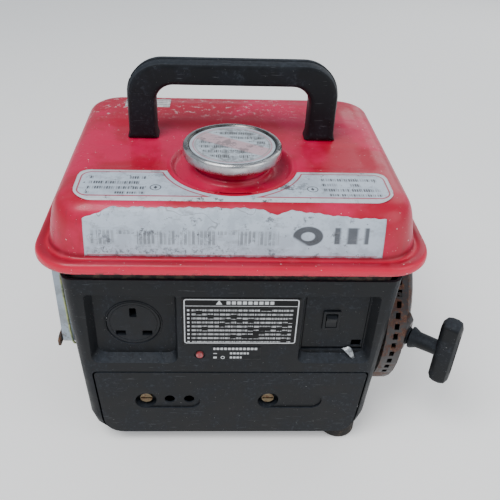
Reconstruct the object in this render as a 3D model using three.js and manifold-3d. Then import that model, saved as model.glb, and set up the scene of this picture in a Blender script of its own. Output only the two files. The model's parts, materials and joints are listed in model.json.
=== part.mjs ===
// Portable two-stroke petrol generator, as an assembly of separate pieces.
// Millimetres, +Z up. X runs along the crankshaft, with the hand starter at +X.
// Y runs from the control panel at the front (low Y) to the silencer at the back.
// The model is laid out from the middle of the panel at floor level, and the finished
// group is moved so that the origin is under the middle of its footprint.
import * as THREE from 'three';
import { mergeVertices } from 'three/addons/utils/BufferGeometryUtils.js';
import Module from 'manifold-3d';

const wasm = await Module();
wasm.setup();

// ---------------------------------------------------------------- driving dimensions
const gap = 0.3; // clearance between pieces that touch
const steel = 1.6; // pressed sheet wall
const plastic = 2.6; // moulded wall

// control box
const boxBottom = 14;
const boxTop = 192;
const boxHalfTop = 135;
const boxDraft = 0.06; // how much each side leans in, per millimetre down
const boxDepth = 58;
const boxEdgeRadius = 10;
const boxLowRadius = 23;
const shelfTop = 98.6; // floor of the switchgear space, roof of the tool space

// recessed panel in the control box
const recessDepth = 8;
const recessDraft = 5;
const recess = { left: -117.5, right: 119.5, low: 103, high: 177 };
const block = { left: -44.5, right: 57.5 }; // flush block between the two recesses

// fuel tank
const tankHalf = 155;
const tankFront = -11;
const tankRear = 246;
const lipBottom = 204.5;
const deckTop = 256;
const tankFloor = 196;
const dishRadius = 50;
const dishDepth = 5;
const filler = [-1, 75]; // x, y of the filler axis
const neckRadius = 31;
const capRadius = 40;
const capTop = 274;

// carry handle
const handleHalf = 77.4; // leg centre from the middle
const handleY = 128;
const handleTop = 324;
const legWidth = 24;
const handleDepth = 22;
const barHeight = 20;

// engine, fan and generator
const engineX = 62;
const shaft = [112, 107]; // y, z of the crankshaft axis
const cylinderTilt = 15; // degrees above level, towards the back
const boreRadius = 22.5;
const crankThrow = 20;
const journalRadius = 8.2;
const deckHeight = 100; // crankshaft axis to the top of the cylinder
const caseHalf = 36;
const shroudRadius = 95;
const shroudIn = 136.5;
const shroudOut = 153;
const recoilRadius = 70;
const recoilOut = 168;
const reelRadius = 42;
const reelWidth = 6.4;
const statorRadius = 50;
const rotorRadius = 33;

// hand starter
const pullAngle = 35; // degrees forward of +X
const pullFrom = [161, 30, 108]; // middle of the rope guide
const gripSize = { height: 68, width: 17, thick: 17 };

// ---------------------------------------------------------------- shape helpers
// A piece is laid out on two cross axes (u, v) and one long axis (w).
const place = {
  x: (u, v, w) => [w, u, v],
  y: (u, v, w) => [u, w, v],
  z: (u, v, w) => [u, v, w],
};

// Turns a closed geometry into a solid with its faces pointing out.
function toSolid(geometry) {
  const bare = new THREE.BufferGeometry();
  bare.setAttribute('position', geometry.attributes.position);
  bare.setIndex(geometry.index);
  const merged = mergeVertices(bare, 1e-4);
  const at = merged.attributes.position;
  const index = merged.index.array;
  const corners = [new THREE.Vector3(), new THREE.Vector3(), new THREE.Vector3()];
  const triangles = [];
  let volume = 0;
  for (let i = 0; i < index.length; i += 3) {
    const three = [index[i], index[i + 1], index[i + 2]];
    if (new Set(three).size < 3) continue;
    triangles.push(three);
    three.forEach((k, n) => corners[n].fromBufferAttribute(at, k));
    volume += corners[0].dot(corners[1].clone().cross(corners[2]));
  }
  const outward = volume < 0 ? triangles.map((t) => [t[0], t[2], t[1]]) : triangles;
  return new wasm.Manifold(new wasm.Mesh({
    numProp: 3,
    vertProperties: new Float32Array(at.array),
    triVerts: new Uint32Array(outward.flat()),
  }));
}

// Moves every vertex of a geometry from local (x, y, z) to where put() sends it.
function remap(geometry, put) {
  const at = geometry.attributes.position;
  for (let i = 0; i < at.count; i += 1) at.setXYZ(i, ...put(at.getX(i), at.getY(i), at.getZ(i)));
  return toSolid(geometry);
}

// A flat outline in (u, v), extruded along an axis from a to b.
function prism(axis, shape, a, b, curveSegments = 6) {
  const geometry = new THREE.ExtrudeGeometry(shape, { depth: b - a, bevelEnabled: false, curveSegments });
  return remap(geometry, (u, v, w) => place[axis](u, v, w + a));
}

// A profile of [radius, distance along the axis] points, turned about an axis at (u, v).
function turned(axis, profile, centre = shaft, segments = 22) {
  const points = profile.map(([r, w]) => new THREE.Vector2(r, w));
  const geometry = new THREE.LatheGeometry(points, segments);
  return remap(geometry, (u, w, v) => place[axis](u + centre[0], v + centre[1], w));
}

const rod = (axis, r, a, b, centre, segments) =>
  turned(axis, [[0, a], [r, a], [r, b], [0, b]], centre, segments);

const tube = (axis, inner, outer, a, b, centre, segments) =>
  turned(axis, [[inner, a], [outer, a], [outer, b], [inner, b], [inner, a]], centre, segments);

function block3(x0, x1, y0, y1, z0, z1) {
  const geometry = new THREE.BoxGeometry(x1 - x0, y1 - y0, z1 - z0);
  geometry.translate((x0 + x1) / 2, (y0 + y1) / 2, (z0 + z1) / 2);
  return toSolid(geometry);
}

// Outline of a rectangle with round corners; low corners may differ from high ones.
function roundedRect(u0, u1, v0, v1, rLow, rHigh = rLow) {
  const shape = new THREE.Shape();
  shape.moveTo(u0 + rLow, v0);
  shape.absarc(u1 - rLow, v0 + rLow, rLow, -Math.PI / 2, 0);
  shape.absarc(u1 - rHigh, v1 - rHigh, rHigh, 0, Math.PI / 2);
  shape.absarc(u0 + rHigh, v1 - rHigh, rHigh, Math.PI / 2, Math.PI);
  shape.absarc(u0 + rLow, v0 + rLow, rLow, Math.PI, 1.5 * Math.PI);
  return shape;
}

// The same outline as a ring of points at distance w along an axis, for a loft.
function ring(axis, [u0, u1], [v0, v1], rLow, rHigh, w, steps = 4) {
  const corners = [[u1 - rLow, v0 + rLow, rLow, -90], [u1 - rHigh, v1 - rHigh, rHigh, 0],
    [u0 + rHigh, v1 - rHigh, rHigh, 90], [u0 + rLow, v0 + rLow, rLow, 180]];
  return corners.flatMap(([u, v, r, start]) => Array.from({ length: steps + 1 }, (_, k) => {
    const angle = THREE.MathUtils.degToRad(start + (90 * k) / steps);
    return place[axis](u + r * Math.cos(angle), v + r * Math.sin(angle), w);
  }));
}

// A skin through rings of equal count, closed by a fan at each end.
function loft(rings) {
  const count = rings[0].length;
  const points = rings.flat();
  const index = [];
  for (let k = 0; k + 1 < rings.length; k += 1) {
    for (let i = 0; i < count; i += 1) {
      const j = (i + 1) % count;
      const low = k * count;
      const high = low + count;
      index.push(low + i, low + j, high + j, low + i, high + j, high + i);
    }
  }
  [0, rings.length - 1].forEach((k) => {
    const middle = points.length;
    const sum = rings[k].reduce((s, p) => s.map((value, n) => value + p[n]), [0, 0, 0]);
    points.push(sum.map((value) => value / count));
    for (let i = 0; i < count; i += 1) {
      const edge = [k * count + i, k * count + ((i + 1) % count)];
      index.push(middle, ...(k === 0 ? edge.reverse() : edge));
    }
  });
  const geometry = new THREE.BufferGeometry();
  geometry.setAttribute('position', new THREE.Float32BufferAttribute(points.flat(), 3));
  geometry.setIndex(index);
  return toSolid(geometry);
}

// A round bar, or a pipe where bore is given, along a smooth curve through points.
function swept(points, r, { bore = 0, sides = 10, steps = 24 } = {}) {
  const route = new THREE.CatmullRomCurve3(points.map((p) => new THREE.Vector3(...p)));
  const circle = (radius) => Array.from({ length: sides }, (_, k) => {
    const angle = (2 * Math.PI * k) / sides;
    return new THREE.Vector2(radius * Math.cos(angle), radius * Math.sin(angle));
  });
  const shape = new THREE.Shape(circle(r));
  if (bore > 0) shape.holes.push(new THREE.Path(circle(bore)));
  return toSolid(new THREE.ExtrudeGeometry(shape, { extrudePath: route, steps, bevelEnabled: false }));
}

const join = (...solids) => solids.reduce((a, b) => a.add(b));
const cut = (first, ...others) => others.reduce((a, b) => a.subtract(b), first);
const around = (count, make) => Array.from({ length: count }, (_, k) => make((360 * k) / count, k));

// Turns a solid by some degrees about the crankshaft axis.
const aboutShaft = (solid, degrees) => solid.translate([0, -shaft[0], -shaft[1]])
  .rotate([degrees, 0, 0]).translate([0, shaft[0], shaft[1]]);

// Engine pieces are drawn level, with the cylinder along +Y, then tilted and put in place.
const inEngine = (solid) => solid.rotate([cylinderTilt, 0, 0])
  .translate([engineX, shaft[0], shaft[1]]);

// ---------------------------------------------------------------- finishes
const finish = (color, roughness, metalness = 0) =>
  new THREE.MeshStandardMaterial({ color, roughness, metalness });
const redPaint = finish(0xc8203f, 0.35);
const blackPlastic = finish(0x23272c, 0.55);
const blackPaint = finish(0x1c1d1f, 0.5, 0.2);
const darkRubber = finish(0x1b1a19, 0.85);
const castAlloy = finish(0xa5a8aa, 0.5, 0.8);
const brightSteel = finish(0xb9bbbd, 0.3, 0.95);
const polishedCap = finish(0xb8b2a8, 0.3, 0.9);
const rustySteel = finish(0x5a3a28, 0.8, 0.4);
const paleCover = finish(0x8fa6ba, 0.5);
const copper = finish(0xa8602f, 0.45, 0.7);
const brass = finish(0xa98446, 0.4, 0.85);
const ceramic = finish(0xe6e2da, 0.3);
const foam = finish(0x4f4b3d, 0.95);
const ropeFibre = finish(0xc9c4b4, 0.9);
const redButton = finish(0xc1545f, 0.45);

const generator = new THREE.Group();
function addPiece(name, solid, material) {
  const { vertProperties, triVerts } = solid.getMesh();
  const geometry = new THREE.BufferGeometry();
  geometry.setAttribute('position', new THREE.BufferAttribute(vertProperties, 3));
  geometry.setIndex(new THREE.BufferAttribute(triVerts, 1));
  const mesh = new THREE.Mesh(geometry, material);
  mesh.name = name;
  generator.add(mesh);
}

// ---------------------------------------------------------------- control box
const boxHalfAt = (z) => boxHalfTop - boxDraft * (boxTop - z);

// The box's outside, drawn in by inset, from y0 to y1; its low edges are rounded.
function boxForm(inset, y0, y1, top) {
  const low = boxLowRadius - inset;
  const rounding = [0, 30, 60, 90].map((degrees) => {
    const angle = THREE.MathUtils.degToRad(degrees);
    const z = boxBottom + inset + low * (1 - Math.cos(angle));
    return [z, boxHalfAt(z) - inset - low * (1 - Math.sin(angle))];
  });
  const levels = [...rounding, [top, boxHalfAt(top) - inset]];
  return loft(levels.map(([z, half]) =>
    ring('z', [-half, half], [y0, y1], boxEdgeRadius - inset, 3, z)));
}

// The tool cover's outline, grown by a margin.
const cover = { middle: 1.6, top: 91, halfTop: 119, draft: 0.066, lowRadius: 18, highRadius: 4 };
function coverOutline(grow) {
  const top = cover.top + grow;
  const bottom = boxBottom - grow;
  const halfTop = cover.halfTop + grow;
  const halfLow = halfTop - cover.draft * (top - bottom);
  const low = cover.lowRadius + grow;
  const high = cover.highRadius + grow;
  const shape = new THREE.Shape();
  const mid = cover.middle;
  shape.moveTo(mid - halfLow + low, bottom);
  shape.lineTo(mid + halfLow - low, bottom);
  shape.quadraticCurveTo(mid + halfLow, bottom, mid + halfLow + cover.draft * low, bottom + low);
  shape.lineTo(mid + halfTop - cover.draft * high, top - high);
  shape.quadraticCurveTo(mid + halfTop, top, mid + halfTop - high, top);
  shape.lineTo(mid - halfTop + high, top);
  shape.quadraticCurveTo(mid - halfTop, top, mid - halfTop + cover.draft * high, top - high);
  shape.lineTo(mid - halfLow - cover.draft * low, bottom + low);
  shape.quadraticCurveTo(mid - halfLow, bottom, mid - halfLow + low, bottom);
  return shape;
}

// A sloping-sided pocket sunk from the panel face; sides lean in by recessDraft, the
// sides towards the middle block only by blockDraft.
const blockDraft = 2;
function pocket(x0, x1, draft0, draft1, grow, y0 = -0.1) {
  const lean = (y) => Math.max(0, y) / recessDepth;
  const at = (y, depth) => ring('y',
    [x0 - grow + draft0 * lean(y), x1 + grow - draft1 * lean(y)],
    [recess.low - grow + recessDraft * lean(y), recess.high + grow - 3 * lean(y)], 7, 3, depth);
  return loft([at(0, y0), at(0, 0), at(recessDepth, recessDepth + Math.max(0, grow))]);
}

const outlet = { centre: [-81, 141], radius: 22.3, depth: 24 };
const breaker = { centre: [-26, 113], neck: 4.4, button: 3.1, travel: 3 };
const rocker = { centre: [83.5, 145.5], width: 14.5, height: 20 };
const slotHigh = 115; // foot of the switch plate, above the open slot
const windowLow = 112;
const plateWindow = { left: 60.6, right: 113.4, high: 174 };
const coverScrews = [-74.1, 35.4];
const screwZ = 55.6;
const pocketRadius = 9.4;
const pocketDepth = 7;
const coverDeep = 10;
const frontFoot = { centre: [106.5, 20.5], radius: 17, high: 38 };
const footRoom = () => rod('z', frontFoot.radius + 0.8, -1, frontFoot.high + 1, frontFoot.centre, 28);
const postTop = 12;

function controlBox() {
  const upper = boxForm(plastic, plastic, boxDepth + 20, boxTop + 1)
    .intersect(block3(-300, 300, -50, 300, shelfTop, boxTop + 10));
  const lower = boxForm(plastic, plastic, boxDepth - plastic, boxTop)
    .intersect(block3(-300, 300, -50, 300, boxBottom, shelfTop - plastic));
  const hollow = cut(boxForm(0, 0, boxDepth, boxTop), upper, lower);
  const pan = pocket(recess.left, recess.right, recessDraft, recessDraft, plastic)
    .intersect(block3(-300, 300, 0.5, 300, shelfTop, boxTop));
  const posts = coverScrews.map((x) => rod('y', 6, postTop, boxDepth - 0.5, [x, screwZ], 16));
  const body = cut(
    join(hollow, pan, ...posts),
    pocket(recess.left, block.left, recessDraft, blockDraft, 0),
    pocket(block.right, recess.right, blockDraft, recessDraft, 0),
    block3(block.left + plastic, block.right - plastic, plastic, recessDepth + 8,
      recess.low + 5, recess.high - 3),
    prism('y', coverOutline(1.6), -1, coverDeep + 2.4),
    rod('y', outlet.radius + gap, recessDepth - 1, recessDepth + 8, outlet.centre, 32),
    rod('y', breaker.neck + gap, -1, 12, breaker.centre, 16),
    block3(plateWindow.left, plateWindow.right, recessDepth - 1, recessDepth + 8,
      windowLow, plateWindow.high),
    ...coverScrews.map((x) => rod('y', 2.7, postTop - 1, 30, [x, screwZ], 12)),
    footRoom(),
  );
  addPiece('control_box', body, blackPlastic);
}

function outletSocket() {
  const [x, z] = outlet.centre;
  const slot = (dx, dz, wide, tall) => block3(x + dx - wide / 2, x + dx + wide / 2,
    recessDepth - 1, recessDepth + 18, z + dz - tall / 2, z + dz + tall / 2);
  const body = rod('y', outlet.radius, recessDepth, recessDepth + outlet.depth, outlet.centre, 32);
  const pinOffset = 11.1;
  addPiece('outlet_socket', cut(
    body,
    slot(0, pinOffset, 5.2, 9.2),
    slot(-pinOffset, -pinOffset, 8, 5.2),
    slot(pinOffset, -pinOffset, 8, 5.2),
  ), blackPlastic);
}

function overloadBreaker() {
  const [x, z] = breaker.centre;
  const body = join(
    rod('y', breaker.neck, 0.8, 13, breaker.centre, 16),
    block3(x - 8, x + 8, 12.3, 40, shelfTop + gap, shelfTop + 30),
  );
  const bore = rod('y', breaker.button + gap, -1, 10.5 + breaker.travel, breaker.centre, 16);
  addPiece('breaker_body', cut(body, bore), blackPlastic);
  addPiece('breaker_button', rod('y', breaker.button, -1.2, 10, breaker.centre, 16), redButton);
}

function switchPlate() {
  const y0 = recessDepth;
  const plate = block3(plateWindow.left + gap, plateWindow.right - gap, y0, y0 + 2,
    slotHigh, plateWindow.high - gap);
  const [x, z] = rocker.centre;
  const fuseHole = block3(103.4, 111.6, y0 - 1, y0 + 4, 116.4, 123.2);
  addPiece('switch_plate', cut(plate, fuseHole,
    block3(x - 5.9, x + 5.9, y0 - 1, y0 + 4, z - 8.7, z + 8.7)), blackPlastic);
}

function rockerSwitch() {
  const [x, z] = rocker.centre;
  const face = recessDepth - 1.6;
  const pivotY = recessDepth + 4.5;
  const body = cut(
    join(
      block3(x - rocker.width / 2, x + rocker.width / 2, face, recessDepth - gap,
        z - rocker.height / 2, z + rocker.height / 2),
      block3(x - 5.6, x + 5.6, face + 0.5, recessDepth + 16, z - 8.4, z + 8.4),
    ),
    block3(x - 4.8, x + 4.8, face - 1, recessDepth + 13, z - 7.4, z + 7.4),
  );
  addPiece('rocker_switch_body', body, blackPlastic);
  const lean = THREE.MathUtils.degToRad(10);
  const corner = (dy, dz) => [pivotY + dy * Math.cos(lean) - dz * Math.sin(lean),
    z + dy * Math.sin(lean) + dz * Math.cos(lean)];
  const outline = new THREE.Shape([[-7.4, 5.4], [-6, 0], [-7.4, -5.4], [0, -6.6], [5, 0], [0, 6.6]]
    .map(([dy, dz]) => new THREE.Vector2(...corner(dy, dz))));
  addPiece('rocker_button', prism('x', outline, x - 4.5, x + 4.5), blackPlastic);
}

function toolCover() {
  const rimInset = -2.4;
  const stadium = (x) => prism('y',
    roundedRect(x - pocketRadius, x + 48.5, screwZ - pocketRadius, screwZ + pocketRadius,
      pocketRadius - 0.01), -1, 1.4, 8);
  const body = cut(
    join(
      cut(prism('y', coverOutline(0), 0, coverDeep), prism('y', coverOutline(rimInset), 3, 20)),
      ...coverScrews.map((x) => rod('y', pocketRadius + 2, 1, coverDeep, [x, screwZ], 24)),
    ),
    ...coverScrews.flatMap((x) => [
      stadium(x),
      rod('y', pocketRadius, -1, pocketDepth, [x, screwZ], 24),
      rod('y', 2.9, 0, 20, [x, screwZ], 12),
    ]),
    ...[21.2, 38.5].map((dx) => rod('y', 4.7, -1, 6, [coverScrews[0] + dx, screwZ + 1], 16)),
    footRoom(),
  );
  addPiece('tool_cover', body, blackPlastic);
  coverScrews.forEach((x, k) => {
    const head = rod('y', 5.4, pocketDepth - 3.3, pocketDepth - gap, [x, screwZ], 16);
    const shank = rod('y', 2.4, pocketDepth - 1, 26, [x, screwZ], 12);
    const slot = block3(x - 5, x + 5, 0, pocketDepth - 2, screwZ - 0.7, screwZ + 0.7);
    addPiece(`cover_screw_${['left', 'right'][k]}`, cut(join(head, shank), slot), brass);
  });
}

// ---------------------------------------------------------------- fuel tank
// The pressed shell's levels: [inset from the flange edge, height].
const tankLevels = [[1.5, lipBottom], [0, lipBottom + 3.5], [0.8, lipBottom + 7.5],
  [3, lipBottom + 9.3], [6, lipBottom + 9], [8.5, lipBottom + 8.2], [10.6, lipBottom + 11],
  [12.5, lipBottom + 20], [15, lipBottom + 33], [18, deckTop - 9], [22, deckTop - 4.2],
  [28, deckTop - 1.2], [36, deckTop]];

function tankForm(levels) {
  const rings = levels.map(([inset, z]) => ring('z',
    [-tankHalf + inset, tankHalf - inset], [tankFront + inset, tankRear - inset],
    Math.max(6, 30 - inset * 0.55), Math.max(8, 38 - inset * 0.5), z, 5));
  return loft(rings);
}

function fuelTank() {
  const dishFloor = deckTop - dishDepth;
  const outer = cut(tankForm(tankLevels),
    turned('z', [[0, dishFloor], [dishRadius - 4, dishFloor], [dishRadius, deckTop + 1],
      [0, deckTop + 1]], filler, 32));
  const seamTop = lipBottom + 3.2;
  const innerLevels = [[5, lipBottom - 2], [5, seamTop], [12.4, lipBottom + 10],
    [14.3, lipBottom + 20], [16.8, lipBottom + 33], [20, deckTop - 10.4],
    [24, deckTop - 5.8], [30, deckTop - 2.8], [38, deckTop - steel]];
  const inner = cut(tankForm(innerLevels),
    turned('z', [[0, dishFloor - steel], [dishRadius - 3, dishFloor - steel],
      [dishRadius + 1.6, deckTop], [0, deckTop]], filler, 32));
  const notch = (side) => block3(side * (tankHalf + 3) - 9, side * (tankHalf + 3) + 9,
    tankFront + 21, tankFront + 34, lipBottom - 1, lipBottom + 6);
  addPiece('tank_upper_shell', cut(outer, inner, rod('z', neckRadius + gap, 200, 300, filler, 28),
    notch(1), notch(-1)), redPaint);

  const panLevels = [[30, tankFloor], [21, tankFloor + 6], [11, lipBottom - 0.6],
    [11, seamTop - gap]];
  const brim = tankForm([[5.4, lipBottom + 0.6], [5.4, seamTop - gap]]);
  const panInside = tankForm([[32, tankFloor + steel], [22.6, tankFloor + 7.4],
    [12.6, lipBottom + 0.9], [12.6, seamTop + 1]]);
  const tapHole = rod('z', 5, tankFloor - 1, tankFloor + 5, [tap.x, tap.y], 12);
  addPiece('tank_lower_shell', cut(join(tankForm(panLevels), brim), panInside, tapHole), redPaint);

  addPiece('filler_neck', tube('z', neckRadius - 3, neckRadius, dishFloor - 13, capTop - 6,
    filler, 28), redPaint);
  const roll = 1.8;
  addPiece('fuel_cap', turned('z', [[0, capTop - 1.6], [capRadius - 4.5, capTop - 1.6],
    [capRadius - 3.6, capTop], [capRadius - roll, capTop], [capRadius - 0.4, capTop - 1],
    [capRadius, capTop - 2.6], [capRadius, capTop - 8.2], [capRadius - 1.4, capTop - 9.5],
    [capRadius - 3.4, capTop - 9.5], [capRadius - 3.4, capTop - 3.4],
    [neckRadius - 4.6, capTop - 3.4], [neckRadius - 4.6, capTop - 28],
    [neckRadius - 6, capTop - 28], [neckRadius - 6, capTop - 3.2], [0, capTop - 3.2]],
  filler, 40), polishedCap);
  addPiece('cap_gasket', tube('z', neckRadius - 3.4, neckRadius + 2, capTop - 5.7,
    capTop - 3.4 - gap, filler, 28), darkRubber);
}

// ---------------------------------------------------------------- carry handle
function carryHandle() {
  const outer = handleHalf + legWidth / 2;
  const inner = handleHalf - legWidth / 2;
  const foot = deckTop + gap;
  const under = handleTop - barHeight;
  const bendOut = 30;
  const bendIn = 15;
  const shape = new THREE.Shape();
  shape.moveTo(-outer - 1.5, foot);
  shape.lineTo(-outer, foot + 6);
  shape.lineTo(-outer, handleTop - bendOut);
  shape.absarc(-outer + bendOut, handleTop - bendOut, bendOut, Math.PI, Math.PI / 2, true);
  shape.absarc(outer - bendOut, handleTop - bendOut, bendOut, Math.PI / 2, 0, true);
  shape.lineTo(outer, foot + 6);
  shape.lineTo(outer + 1.5, foot);
  shape.lineTo(inner - 1.5, foot);
  shape.lineTo(inner, foot + 6);
  shape.absarc(inner - bendIn, under - bendIn, bendIn, 0, Math.PI / 2);
  shape.absarc(-inner + bendIn, under - bendIn, bendIn, Math.PI / 2, Math.PI);
  shape.lineTo(-inner, foot + 6);
  shape.lineTo(-inner + 1.5, foot);
  const chamfer = 5;
  const geometry = new THREE.ExtrudeGeometry(shape, {
    depth: handleDepth - 2 * chamfer,
    bevelThickness: chamfer,
    bevelSize: chamfer,
    bevelOffset: -chamfer,
    bevelSegments: 2,
    curveSegments: 7,
  });
  const solid = remap(geometry, (u, v, w) => [u, handleY - handleDepth / 2 + chamfer + w, v]);
  addPiece('carry_handle', cut(solid, block3(-200, 200, 0, 300, 0, foot)), blackPlastic);
}

// ---------------------------------------------------------------- fuel system
const tap = { x: -90, y: 172, top: tankFloor - gap };
const carb = { y: 112, z: 179, left: -110, right: -72 };
const cleaner = { left: -148, split: -137.2, right: carb.left - gap, front: 61, back: 150,
  coverFront: 30, coverBack: 190, low: 95, high: 186 };

function fuelTap() {
  const bodyLow = tap.top - 22;
  const lever = { x: tap.x - 9, z: tap.top - 11 };
  addPiece('fuel_tap_body', join(
    rod('z', 4.2, tap.top - 2, tap.top + 5, [tap.x, tap.y], 12),
    rod('z', 8, bodyLow, tap.top, [tap.x, tap.y], 16),
    rod('z', 2.6, bodyLow - 3, bodyLow + 1, [tap.x, tap.y], 12),
  ), brass);
  addPiece('fuel_tap_lever', join(
    rod('x', 5.5, lever.x - 6, lever.x + 0.7, [tap.y, lever.z], 16),
    block3(lever.x - 6, lever.x - 2.5, tap.y - 3.5, tap.y + 3.5, lever.z - 24, lever.z),
  ), redButton);
  const hoseTop = bodyLow - 0.5;
  addPiece('fuel_hose', swept([[tap.x, tap.y, hoseTop], [tap.x, tap.y, hoseTop - 16],
    [tap.x + 4, tap.y - 12, hoseTop - 26], [carbInlet[0], carbInlet[1] + 14, carbInlet[2] - 3],
    [carbInlet[0], carbInlet[1] + 0.5, carbInlet[2]]], 4.4, { bore: 3.2, sides: 8, steps: 16 }),
  darkRubber);
}

const carbInlet = [(carb.left + carb.right) / 2, carb.y + 25, carb.z - 14];
function carburettor() {
  const middle = carbInlet[0];
  const bowl = rod('z', 15, carb.z - 34, carb.z - 8, [middle, carb.y], 20);
  const dome = rod('z', 9, carb.z + 8, carb.z + 15.5, [middle, carb.y], 16);
  const barrel = rod('x', 12, carb.left, carb.right, [carb.y, carb.z], 20);
  const flange = block3(carb.right - 4, carb.right, carb.y - 20, carb.y + 20, carb.z - 10, carb.z + 10);
  const spigot = rod('y', 2.6, carb.y + 10, carbInlet[1] - 1, [middle, carbInlet[2]], 12);
  addPiece('carburettor', cut(join(bowl, dome, barrel, flange, spigot),
    rod('x', 7.5, carb.left - 1, carb.right + 1, [carb.y, carb.z], 20)), castAlloy);
  const caseTop = shaft[1] + 44 + gap;
  const down = [engineX - 14, carb.y];
  addPiece('intake_pipe', swept([[carb.right + gap, carb.y, carb.z], [carb.right + 30, carb.y, carb.z],
    [carb.right + 75, carb.y, carb.z], [down[0] - 12, down[1], carb.z],
    [down[0], down[1], carb.z - 12], [down[0], down[1], caseTop]], 9.5,
  { bore: 7.5, sides: 10, steps: 18 }), castAlloy);
}

function airCleaner() {
  const { left, split, right, front, back, coverFront, coverBack, low, high } = cleaner;
  const wall = 2.2;
  const shellOf = (x0, x1, y0, y1, openSide) => cut(
    prism('x', roundedRect(y0, y1, low, high, 9), x0, x1, 4),
    prism('x', roundedRect(y0 + wall, y1 - wall, low + wall, high - wall, 7),
      openSide < 0 ? x0 - 1 : x0 + wall, openSide < 0 ? x1 - wall : x1 + 1, 4),
  );
  addPiece('air_cleaner_case', cut(shellOf(split, right, front, back, -1),
    rod('x', 7.5, right - 5, right + 1, [carb.y, carb.z], 16)), paleCover);
  const louvres = around(5, (_, k) => block3(left - 1, left + 4, coverFront + 26, coverBack - 26,
    low + 17 + 13 * k, low + 21 + 13 * k));
  addPiece('air_cleaner_cover', cut(shellOf(left, split - gap, coverFront, coverBack, 1),
    ...louvres), paleCover);
  addPiece('air_filter_foam', prism('x', roundedRect(front + 3, back - 3, low + 3, high - 3, 7),
    split - 7, split + 6, 4), foam);
  const face = left - gap;
  const { y, z } = choke;
  addPiece('choke_lever', join(
    rod('x', 5, face - 3.2, face, [y, z], 14),
    prism('x', new THREE.Shape([[y, z - 4], [y, z + 4], [y - 14, z + 6], [y - 20, z + 4],
      [y - 20, z - 2], [y - 14, z - 3]].map(([u, v]) => new THREE.Vector2(u, v))),
    face - 3.2, face - 0.8),
  ), rustySteel);
}
const choke = { y: 46, z: 100 };

// ---------------------------------------------------------------- engine
function crankcase() {
  const shell = join(
    rod('x', 44, -caseHalf, caseHalf, [0, 0], 28),
    block3(-30, 30, 20, 46, -30, 30),
  );
  const hollow = inEngine(cut(
    shell,
    rod('x', 36, -22, 22, [0, 0], 28),
    rod('y', 25, 0, 50, [0, 0], 28),
    rod('x', 17, -caseHalf - 1, caseHalf + 1, [0, 0], 24),
  ));
  const leg = (y) => block3(engineX - caseHalf, engineX + caseHalf, y - 7, y + 7,
    mount.top + gap, shaft[1] - 28);
  const reed = rod('z', 13, shaft[1] + 38, shaft[1] + 44, [engineX - 14, carb.y], 16);
  const port = rod('z', 7.5, shaft[1] + 30, shaft[1] + 50, [engineX - 14, carb.y], 14);
  const chamber = rod('x', 36, engineX - 22, engineX + 22, shaft, 28);
  addPiece('crankcase', cut(join(hollow, cut(join(leg(mount.front), leg(mount.back)), chamber,
    rod('x', 43, engineX - caseHalf - 1, engineX + caseHalf + 1, shaft, 28)), reed), port), castAlloy);
}

const trayTop = 24.5;
const mount = { front: shaft[0] - 32, back: shaft[0] + 32, top: trayTop + 12 };

function engineMounts() {
  const blockAt = (y) => block3(engineX - 30, engineX + 30, y - 9, y + 9, trayTop + gap, mount.top);
  const strip = block3(engineX - 30, engineX + 30, mount.front, mount.back, trayTop + gap,
    trayTop + 3);
  addPiece('engine_mount', join(blockAt(mount.front), blockAt(mount.back), strip), darkRubber);
}

function cylinderAndHead() {
  const finStart = 55;
  const fins = around(7, (_, k) => prism('y', roundedRect(-38, 38, -38, 38, 12), finStart + 7 * k,
    finStart + 7 * k + 2.2, 1));
  const barrel = join(rod('y', 29, 46 + gap, deckHeight, [0, 0], 20),
    rod('y', 24.6, 38, 47, [0, 0], 24), ...fins, block3(-44, -20, 64, 88, -13, 13));
  const port = rod('x', 5.5, -50, -10, [76, 0], 14);
  addPiece('cylinder', inEngine(cut(barrel, rod('y', boreRadius, 30, 110, [0, 0], 24), port)),
    castAlloy);

  const headFins = [-30, -18, -6, 6, 18, 30].map((x) => block3(x - 1.2, x + 1.2,
    deckHeight + 6, deckHeight + 24, -34, 34));
  const dome = rod('y', 16, deckHeight - 1, deckHeight + 5, [0, 0], 20);
  const head = join(prism('y', roundedRect(-38, 38, -38, 38, 12), deckHeight + gap,
    deckHeight + 8, 1), rod('y', 14, deckHeight, deckHeight + 20, [0, 0], 20), ...headFins);
  const hexTop = deckHeight + 29;
  addPiece('cylinder_head', inEngine(cut(head, dome, rod('y', 6.2, deckHeight, deckHeight + 40,
    [0, 0], 16), rod('y', 11.5, deckHeight + 20, deckHeight + 40, [0, 0], 20))), castAlloy);
  addPiece('spark_plug', inEngine(join(
    rod('y', 5.8, deckHeight + 3, deckHeight + 21, [0, 0], 16),
    rod('y', 9.5, deckHeight + 20 + gap, hexTop, [0, 0], 6),
    rod('y', 5, hexTop - 1, hexTop + 17, [0, 0], 14),
  )), ceramic);
  addPiece('plug_cap', inEngine(cut(
    join(rod('y', 8.5, hexTop + 3, hexTop + 24, [0, 0], 18),
      rod('x', 6.5, 0, 22, [hexTop + 20, 0], 14)),
    rod('y', 5 + gap, hexTop, hexTop + 19, [0, 0], 14),
  )), darkRubber);
}

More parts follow.
